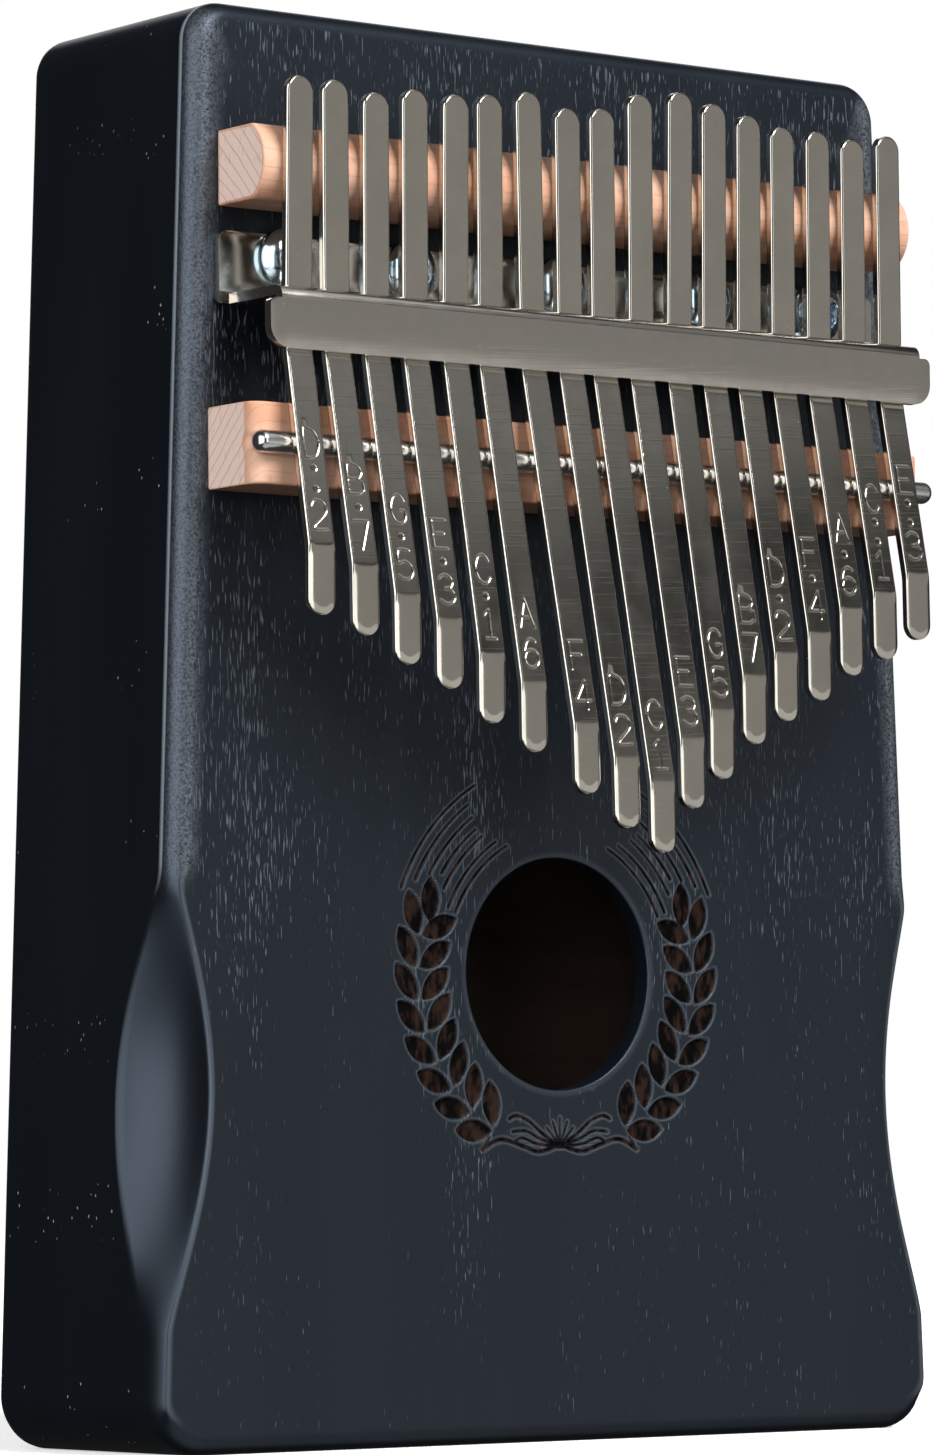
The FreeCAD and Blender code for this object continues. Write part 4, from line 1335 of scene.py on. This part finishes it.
@dataclass
class PanScrews:
    """Five cross-recess screws that hold the bracket."""

    places: tuple = (-44.86, -24.92, 0.0, 24.92, 44.86)
    turns: tuple = (18.0, 52.0, 77.0, 8.0, 35.0)
    height: float = 152.1
    seat: float = -20.1
    head_radius: float = 4.0
    head_rise: float = 2.6
    shank_radius: float = 1.7
    length: float = 12.0
    taper: float = 3.5
    recess_floor: float = 1.85
    around: int = 72

    def head(self, angle: float) -> tuple[Array, list[Array]]:
        """One screw about its own axis.

        The head's height over its seat follows a flattened dome, one less the fourth power of the
        reach, with a rounded rim. The recess is the lesser distance to two crossed bars, sunk with
        sloping walls. The shank is a plain pin with a tapered point.

        Args:
            angle: how far the recess is turned, in degrees.

        Returns:
            The screw's places and faces, its seat at the origin.
        """
        reaches = np.concatenate([np.linspace(0.12, 2.3, 26), np.linspace(2.45, 3.9, 12), [3.97]])
        turn = 2 * math.pi * np.arange(self.around) / self.around
        reach, bearing = np.meshgrid(reaches, turn, indexing="ij")
        dome = self.head_rise * (1.0 - 0.62 * (reach / self.head_radius) ** 3.2)
        own = bearing - math.radians(angle)
        across, up = np.abs(reach * np.cos(own)), np.abs(reach * np.sin(own))
        arm, span = 0.42, 2.05
        bar = np.minimum(np.maximum(across - arm, up - span), np.maximum(up - arm, across - span))
        wall = ease(0.10, -0.32, bar) * 1.35
        core = 0.5 * ease(1.1, 0.2, reach)
        top = dome - wall - core * ease(0.1, -0.1, bar)
        rows = [(reaches[index], top[index]) for index in range(len(reaches))]
        rows += [(4.0, np.full(self.around, 0.85)), (4.0, np.full(self.around, 0.25)),
                 (3.92, np.full(self.around, 0.03)), (self.shank_radius, np.full(self.around, 0.03)),
                 (self.shank_radius, np.full(self.around, self.taper - self.length)),
                 (0.25, np.full(self.around, -self.length))]
        points = np.array([np.column_stack([size * np.cos(turn), -level, size * np.sin(turn)])
                           for size, level in rows])
        hubs = np.array([[0.0, -(self.head_rise - self.recess_floor), 0.0], [0.0, self.length, 0.0]])
        return np.vstack([points.reshape(-1, 3), hubs]), capped_faces(len(rows), self.around)

    def build(self, zinc: bpy.types.Material) -> bpy.types.Object:
        """Set the five screws along the base leg as one piece.

        Args:
            zinc: the screws' material.

        Returns:
            The piece, riding on the box's body.
        """
        all_points: list[Array] = []
        all_faces: list[Array] = []
        shift = 0
        for place, turn in zip(self.places, self.turns):
            points, faces = self.head(turn)
            all_points.append(points + [place, self.seat, self.height])
            all_faces += [group + shift for group in faces]
            shift += len(points)
        piece = make_piece("pan_head_screws", np.vstack(all_points), all_faces)
        wear(piece, zinc)
        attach(piece, Body.BOX.value)
        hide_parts("bracket_screws")
        return piece


# ---------------------------------------------------------------------------------------------
# Tines
# ---------------------------------------------------------------------------------------------

# Letters and figures as strokes in a box one wide and one high.
GLYPHS: dict[str, tuple] = {
    "A": (((0, 0), (0.5, 1), (1, 0)), ((0.2, 0.36), (0.8, 0.36))),
    "B": (((0, 0), (0, 1), (0.6, 1), (0.9, 0.87), (0.9, 0.66), (0.6, 0.53), (0, 0.53)),
          ((0.6, 0.53), (1, 0.4), (1, 0.14), (0.65, 0), (0, 0))),
    "C": (((0.95, 0.8), (0.75, 0.96), (0.5, 1), (0.18, 0.86), (0, 0.5), (0.18, 0.14), (0.5, 0),
           (0.75, 0.04), (0.95, 0.2)),),
    "D": (((0, 0), (0, 1), (0.45, 1), (0.82, 0.86), (1, 0.5), (0.82, 0.14), (0.45, 0), (0, 0)),),
    "E": (((0.95, 1), (0, 1), (0, 0), (0.95, 0)), ((0, 0.52), (0.8, 0.52))),
    "F": (((0.95, 1), (0, 1), (0, 0)), ((0, 0.52), (0.8, 0.52))),
    "G": (((0.95, 0.8), (0.75, 0.96), (0.5, 1), (0.18, 0.86), (0, 0.5), (0.18, 0.14), (0.5, 0),
           (0.8, 0.06), (0.95, 0.2), (0.95, 0.45), (0.6, 0.45)),),
    "1": (((0.2, 0.8), (0.55, 1), (0.55, 0)), ((0.2, 0), (0.9, 0))),
    "2": (((0, 0.78), (0.2, 0.96), (0.5, 1), (0.85, 0.92), (1, 0.72), (0.85, 0.48), (0, 0), (1, 0)),),
    "3": (((0.05, 0.88), (0.4, 1), (0.8, 0.93), (0.92, 0.74), (0.75, 0.56), (0.4, 0.52), (0.8, 0.48),
           (1, 0.27), (0.82, 0.06), (0.4, 0), (0.02, 0.12)),),
    "4": (((0.75, 0), (0.75, 1), (0, 0.3), (1, 0.3)),),
    "5": (((0.9, 1), (0.15, 1), (0.08, 0.55), (0.5, 0.62), (0.88, 0.5), (1, 0.28), (0.8, 0.05),
           (0.4, 0), (0.02, 0.12)),),
    "6": (((0.9, 0.9), (0.6, 1), (0.25, 0.85), (0.02, 0.45), (0.1, 0.12), (0.45, 0), (0.85, 0.1),
           (1, 0.33), (0.85, 0.55), (0.5, 0.62), (0.15, 0.5), (0.02, 0.3)),),
    "7": (((0, 1), (1, 1), (0.4, 0)),),
}

# The note, the octave dots and the scale figure stamped on each tine, left to right.
STAMPS = (("D", 2, "2"), ("B", 1, "7"), ("G", 1, "5"), ("E", 1, "3"), ("C", 1, "1"), ("A", 0, "6"),
          ("F", 0, "4"), ("D", 0, "2"), ("C", 0, "1"), ("E", 0, "3"), ("G", 0, "5"), ("B", 0, "7"),
          ("D", 1, "2"), ("F", 1, "4"), ("A", 1, "6"), ("C", 2, "1"), ("E", 2, "3"))


@dataclass
class Stamp:
    """A tine's mark, pressed into its face above the pad."""

    note: str
    dots: int
    figure: str
    width: float = 2.3
    height: float = 3.8
    start: float = 10.8
    stroke: float = 0.12
    dot: float = 0.48
    depth: float = 0.075

    def gap(self) -> float:
        """The space between the figure and the note, which holds the dots."""
        return 1.5 + 2.0 * self.dots

    def end(self) -> float:
        """How far up the tine the mark goes."""
        return self.start + 2 * self.height + self.gap()

    def glyph(self, label: str, across: Array, along: Array, base: float) -> Array:
        """Distance to a letter's strokes, its corners rounded where it has many.

        Args:
            label: the letter or figure.
            across: places across, from the tine's middle.
            along: distances from the tip.
            base: where the letter's foot is.

        Returns:
            The distances.
        """
        runs = []
        for points in GLYPHS[label]:
            placed = [((x - 0.5) * self.width, base + y * self.height) for x, y in points]
            runs.append(stroke_distance(across, along, rounded_run(placed, 3) if len(points) > 5 else placed))
        return np.min(runs, axis=0)

    def relief(self, across: Array, along: Array) -> tuple[Array, Array]:
        """How deep the face is pressed at each place, and a mask of the pressed floor.

        Args:
            across: places across, from the tine's middle.
            along: distances from the tip.

        Returns:
            Depths, and the mask from 0 to 1.
        """
        figure = self.glyph(self.figure, across, along, self.start)
        note = self.glyph(self.note, across, along, self.start + self.height + self.gap())
        nearest = np.minimum(figure, note) - self.stroke
        for dot in range(self.dots):
            centre = self.start + self.height + self.gap() * (dot + 0.5) / self.dots
            dot_edge = np.hypot(across, along - centre) - self.dot
            nearest = np.minimum(nearest, dot_edge)
        return self.depth * ease(0.08, -0.10, nearest), ease(0.06, -0.03, nearest)


@dataclass
class Tine:
    """One steel tine: a bent strip with round ends, soft edges and a stamped mark."""

    number: int
    stamp: Stamp
    width: float = 4.1
    thickness: float = 1.3
    chamfer: tuple = (0.21, 0.17)
    pad_round: tuple = (1.05, 0.20)
    pad: float = 8.4
    pad_bend: float = 7.0
    press_bend: float = 25.0
    lower_lean: float = 10.474
    upper_lean: float = -0.9
    bend_start: float = 10.42

    def centre_line(self, tip: float, top: float, crossing: Array) -> tuple[Array, Array, Array, float]:
        """The side view of the tine's middle, from tip to top.

        The heading stays at nothing along the pad, turns to the lower lean along the pad's bend,
        stays there past the rod, turns to the upper lean under the bracket and stays there to the
        top. Depth and height are its running sine and cosine sums, moved to pass the crossing.

        Args:
            tip: height of the tip.
            top: height of the upper end.
            crossing: depth and height of the crossing with the rod.

        Returns:
            Distances along the line, headings, the places, and the distance of the crossing.
        """
        lower, upper = math.radians(self.lower_lean), math.radians(self.upper_lean)
        trim = self.pad_bend * math.tan(lower / 2)
        pad_length = self.pad - trim
        bend_length = self.pad_bend * lower
        free = (crossing[1] - tip - self.pad) / math.cos(lower) - trim
        press_length = self.press_bend * (lower - upper)
        knots = np.cumsum([0.0, pad_length, bend_length, free + self.bend_start, press_length])
        total = knots[-1] + (top - crossing[1]) - self.bend_start * math.cos(lower) - press_length * 0.995
        run = np.linspace(0.0, total, 4000)
        heading = np.interp(run, knots, (0.0, 0.0, lower, lower, upper))
        step = run[1] - run[0]
        sums = [np.concatenate([[0.0], np.cumsum((wave[1:] + wave[:-1]) / 2) * step])
                for wave in (np.sin(heading), np.cos(heading))]
        rod = knots[2] + free
        places = np.column_stack(sums)
        places += crossing - [np.interp(rod, run, part) for part in sums]
        return run, heading, places, rod

    def stations(self, total: float, rod: float) -> Array:
        """Distances of the rows: close at the ends, at the bends and through the stamp.

        Args:
            total: the tine's whole length.
            rod: the crossing's distance from the tip.

        Returns:
            Distances from the tip.
        """
        half = self.width / 2
        closing = half * (1 - np.cos(np.radians((4, 10, 17, 24, 31, 38, 46, 54, 63, 72, 81, 90))))
        pad = np.linspace(half + 0.7, self.pad - 1.2, 7)
        bend = np.linspace(self.pad - 0.8, self.pad + 1.3, 8)
        stamped = np.arange(self.stamp.start - 0.5, self.stamp.end() + 0.5, 0.10)
        run_up = np.arange(self.stamp.end() + 1.5, rod + self.bend_start - 0.5, 2.2)
        press = np.linspace(rod + self.bend_start, rod + self.bend_start + 5.0, 9)
        upper = np.linspace(press[-1] + 1.5, total - half - 1.0, 12)
        rows = np.concatenate([closing, pad, bend, stamped, run_up, press, upper, total - closing])
        rows = np.unique(np.round(rows, 4))
        return rows[(rows >= closing[0]) & (rows <= total - closing[0])]

    def columns(self) -> tuple[Array, Array]:
        """The columns round the section, by how far across they are and which side they are on.

        Across runs from -1 to 1 of the half width; the side is 1 on the face, -1 on the back and
        between them on the two edges.

        Returns:
            The columns, once round the section.
        """
        half = self.width / 2
        fringe = 1.0 - np.array([0.0, 0.05, 0.17, 0.29, 0.37, 0.45, 0.58, 0.76, 0.92, 1.02]) / half
        core = np.linspace(-fringe[-1], fringe[-1], 22)[1:-1]
        face = np.concatenate([-fringe, core, fringe[::-1]])
        back = np.array([1.0, 0.86, 0.81, 0.3, -0.3, -0.81, -0.86, -1.0])
        across = np.concatenate([face, [1.0, 1.0], back, [-1.0, -1.0]])
        side = np.concatenate([np.ones(len(face)), [0.6, -0.6], -np.ones(len(back)), [-0.6, 0.6]])
        return across, side

    def surface(self, across: Array, along: Array, total: float) -> Array:
        """How far a face stands from the middle: level, then falling within a small reach of the
        tine's edge. The fall is straight along the runs; on the pad it is wider and round.

        Args:
            across: places across, from the tine's middle.
            along: distances from the tip.
            total: the tine's whole length.

        Returns:
            The distances from the middle.
        """
        half = self.width / 2
        end = np.minimum(along, total - along)
        cap = half - np.hypot(across, half - end)
        inward = np.where(end < half, cap, half - np.abs(across))
        padded = ease(self.pad + 0.6, self.pad - 0.9, along)
        chamfer_width, chamfer_fall = self.chamfer
        round_width, round_fall = self.pad_round
        straight = chamfer_fall * np.clip(1.0 - inward / chamfer_width, 0.0, 1.0)
        near = np.clip(1.0 - inward / round_width, 0.0, 1.0)
        rounded = round_fall * near ** 1.7
        return self.thickness / 2 - straight - (rounded - straight) * padded

    def build(self, steel: bpy.types.Material) -> bpy.types.Object:
        """Work out the tine in its joint's place.

        Args:
            steel: the tine's material.

        Returns:
            The piece, which replaces the tine's held part and its free part.
        """
        label = "tine_%02d" % self.number
        joint = next(item for item in frame["joints"] if item["name"] == label + "_pluck")
        pivot = np.array(joint["pos_m"]) / MM
        lean = math.asin(-joint["axis"][2])
        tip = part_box(label)[0][2] / MM
        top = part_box(label + "_root")[1][2] / MM
        run, heading, places, rod = self.centre_line(tip, top, pivot[1:])
        rows = self.stations(run[-1], rod)
        half = self.width / 2
        end = np.minimum(rows, run[-1] - rows)
        reach = np.where(end < half, np.sqrt(np.clip(half ** 2 - (half - end) ** 2, 0, None)), half)
        share, side = self.columns()
        across = reach[:, None] * share
        along = np.broadcast_to(rows[:, None], across.shape)
        pressed, mask = self.stamp.relief(across, along)
        stand = side * self.surface(across, along, run[-1]) - np.where(side == 1.0, pressed, 0.0)
        points = self.place(across, along, stand, run, heading, places).reshape(-1, 3)
        height = points[:, 2] - pivot[2]
        points[:, 2] = pivot[2] + height * math.cos(lean) - points[:, 0] * math.sin(lean)
        points[:, 0] = pivot[0] + points[:, 0] * math.cos(lean) + height * math.sin(lean)
        total = len(points)
        ends = [np.arange(len(share))[None, ::-1], np.arange(total - len(share), total)[None, :]]
        faces = [grid_faces(len(rows), len(share), closed=True), *ends]
        piece = make_piece(label + "_steel", points, faces, {"press": np.where(side == 1.0, mask, 0.0)})
        wear(piece, steel)
        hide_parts(label, label + "_root")
        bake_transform(piece)
        return piece

    @staticmethod
    def place(across: Array, along: Array, stand: Array, run: Array, heading: Array,
              places: Array) -> Array:
        """Points that stand off the centre line towards the front, by their distance from it.

        Args:
            across: places across, from the tine's middle.
            along: distances from the tip.
            stand: distances from the centre line.
            run: distances along the centre line.
            heading: headings there.
            places: depths and heights there.

        Returns:
            The points.
        """
        depth = np.interp(along, run, places[:, 0])
        height = np.interp(along, run, places[:, 1])
        turn = np.interp(along, run, heading)
        return np.stack([across, depth - stand * np.cos(turn), height + stand * np.sin(turn)], axis=-1)


# ---------------------------------------------------------------------------------------------
# The scene about the kalimba
# ---------------------------------------------------------------------------------------------


@dataclass(frozen=True)
class Lamp:
    """A rectangular soft lamp that looks at the instrument.

    Its place is given in metres, and its glow is its brightness seen from the instrument. A lamp
    that isn't mirrored gives light and shadows, but doesn't show in the steel.
    """

    name: str
    place: tuple
    size: tuple
    glow: float
    tint: tuple = (1.0, 1.0, 1.0)
    mirrored: bool = True
    aim: tuple = (0.0, 0.0, 0.09)

    def build(self) -> bpy.types.Object:
        """Hang the lamp.

        Returns:
            The lamp's object.
        """
        light = bpy.data.lights.new(self.name, "AREA")
        light.shape = "RECTANGLE"
        light.size, light.size_y = self.size
        light.energy = self.glow * math.pi * self.size[0] * self.size[1]
        light.color = self.tint
        lamp = bpy.data.objects.new(self.name, light)
        bpy.context.scene.collection.objects.link(lamp)
        lamp.location = self.place
        lamp.visible_glossy = self.mirrored
        lamp.rotation_euler = (Vector(self.aim) - Vector(self.place)).to_track_quat("-Z", "Y").to_euler()
        return lamp


@dataclass
class Studio:
    """A pale floor, soft lamps, dim surroundings and the camera."""

    lamps: tuple = (
        Lamp("key", (0.42, -0.85, 0.95), (0.24, 0.24), 58.0, mirrored=False),
        Lamp("right_floor", (0.85, -1.12, -0.15), (1.5, 0.52), 0.60, (1.0, 0.985, 0.955)),
        Lamp("right_low", (0.85, -1.12, 0.34), (1.5, 0.44), 0.30, (1.0, 0.98, 0.945)),
        Lamp("right_high", (0.80, -1.00, 1.05), (1.5, 0.80), 0.22),
        Lamp("front_strip", (0.10, -1.42, 0.14), (0.40, 0.80), 1.8),
        Lamp("sheen", (0.05, -0.80, 0.78), (0.42, 0.42), 15.0),
        Lamp("overhead", (0.30, -0.50, 1.20), (0.7, 0.7), 0.5),
        Lamp("front_floor", (0.10, -0.75, -0.80), (1.6, 1.0), 0.55),
        Lamp("rear_fill", (0.90, 1.25, 0.75), (1.0, 1.0), 1.2),
        Lamp("left_wall", (-1.25, -0.62, 0.30), (1.6, 1.7), 3.3, (0.98, 0.99, 1.0)),
    )
    eye: tuple = (-515.6, -668.9, 34.4)
    right: tuple = (0.7926, -0.6097, -0.0086)
    up: tuple = (-0.0367, -0.0619, 0.9974)
    lens: float = 155.997
    film: float = 36.0
    dimness: float = 0.04

    def build(self) -> None:
        """Make the floor, the lamps, the surroundings and the camera."""
        self.floor()
        for lamp in self.lamps:
            lamp.build()
        self.surroundings()
        self.camera()

    def floor(self) -> None:
        """A flat pale floor, brighter to the camera away from the instrument."""
        reach = 6.0
        mesh = bpy.data.meshes.new("studio_floor")
        corners = [(-reach, -reach, 0.0), (reach, -reach, 0.0), (reach, reach, 0.0), (-reach, reach, 0.0)]
        mesh.from_pydata(corners, [], [(0, 1, 2, 3)])
        floor = bpy.data.objects.new("studio_floor", mesh)
        bpy.context.scene.collection.objects.link(floor)
        material, wiring, shader = new_material("pale_floor")
        place = wiring.place()
        drift = wiring.noise(place, 3.0, 2.0)
        tone = wiring.mix(wiring.step(drift, 0.3, 0.7), colour(0.86, 0.86, 0.86), colour(0.88, 0.88, 0.88))
        away = wiring.node("ShaderNodeVectorMath", {0: place}, operation="LENGTH").outputs["Value"]
        seen = wiring.node("ShaderNodeLightPath").outputs["Is Camera Ray"]
        lift = wiring.times(wiring.step(away, 0.15, 0.9, 0.55, 1.0), seen)
        wiring.feed(shader, {"Base Color": tone, "Emission Strength": lift})
        shader.inputs["Emission Color"].default_value = colour(1.0, 1.0, 1.0)
        shader.inputs["Roughness"].default_value = 0.9
        wear(floor, material)
        floor.visible_glossy = False
        floor.visible_diffuse = False

    def surroundings(self) -> None:
        """A white backdrop for the camera, and a dim even light for everything else."""
        world = bpy.data.worlds.new("studio")
        bpy.context.scene.world = world
        world.use_nodes = True
        wiring = Wiring(world.node_tree)
        back = world.node_tree.nodes["Background"]
        seen = wiring.node("ShaderNodeLightPath").outputs["Is Camera Ray"]
        strength = wiring.step(seen, 0.0, 1.0, self.dimness, 1.0)
        wiring.tree.links.new(strength, back.inputs["Strength"])
        back.inputs["Color"].default_value = colour(1.0, 1.0, 1.0)

    def camera(self) -> None:
        """The camera, square to its own right and up."""
        data = bpy.data.cameras.new("camera")
        data.sensor_fit = "VERTICAL"
        data.sensor_height = self.film
        data.lens = self.lens
        data.clip_start, data.clip_end = 0.05, 20.0
        camera = bpy.data.objects.new("camera", data)
        bpy.context.scene.collection.objects.link(camera)
        right = Vector(self.right).normalized()
        back = right.cross(Vector(self.up)).normalized()
        up = back.cross(right)
        turn = Matrix((right, up, back)).transposed().to_4x4()
        camera.matrix_world = Matrix.Translation(Vector(self.eye) * MM) @ turn
        bpy.context.scene.camera = camera


BEECH = dict(pale=colour(0.68, 0.42, 0.30), warm=colour(0.60, 0.30, 0.185), cut=colour(0.80, 0.60, 0.52),
             ring=colour(0.26, 0.13, 0.09))


def build_kalimba() -> None:
    """Build every piece in order and dress it."""
    paint = StainedWood().build()
    # The inside's raw wood is near black: painted shade for the dim hollow seen through the sound hole.
    bare = PlainWood("raw_wood", pale=colour(0.065, 0.041, 0.028), warm=colour(0.048, 0.029, 0.020),
                     cut=colour(0.065, 0.041, 0.028), ring=colour(0.024, 0.013, 0.008), slant=0.1).build()
    report(SoundBox().dress(paint, bare))
    block = frame["nodes"]["screw_block"]
    wear(block, bare)
    report(RearBar().build(PlainWood("bar_wood_rear", slant=-1.0, **BEECH).build()))
    report(FrontBar().build(PlainWood("bar_wood_front", slant=1.0, **BEECH).build()))
    rod = Steel("rod_steel", colour(0.66, 0.66, 0.65), colour(0.60, 0.60, 0.60), 0.20, 0.10, wave=0.1)
    report(BridgeRod().build(rod.build()))
    strip = Steel("bracket_steel", colour(0.54, 0.51, 0.46), colour(0.48, 0.455, 0.42), 0.13, 0.10, 0.3, 0.3)
    report(Bracket().build(strip.build()))
    zinc = Steel("zinc_screws", colour(0.40, 0.57, 0.72), colour(0.58, 0.66, 0.72), 0.12, 0.08, 0.1)
    report(PanScrews().build(zinc.build()))
    sprung = Steel("tine_steel", colour(0.585, 0.555, 0.495), colour(0.53, 0.505, 0.45),
                   0.10, 0.07, 0.15, 0.3)
    steel = sprung.build()
    for number, (note, dots, figure) in enumerate(STAMPS, start=1):
        report(Tine(number, Stamp(note, dots, figure)).build(steel))


def main() -> None:
    """Build the kalimba and its studio."""
    logging.basicConfig(level=logging.INFO, format="%(name)s %(message)s")
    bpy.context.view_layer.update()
    scene = bpy.context.scene
    scene.view_settings.view_transform = "Standard"
    Studio().build()
    build_kalimba()


if __name__ == "__main__":
    main()
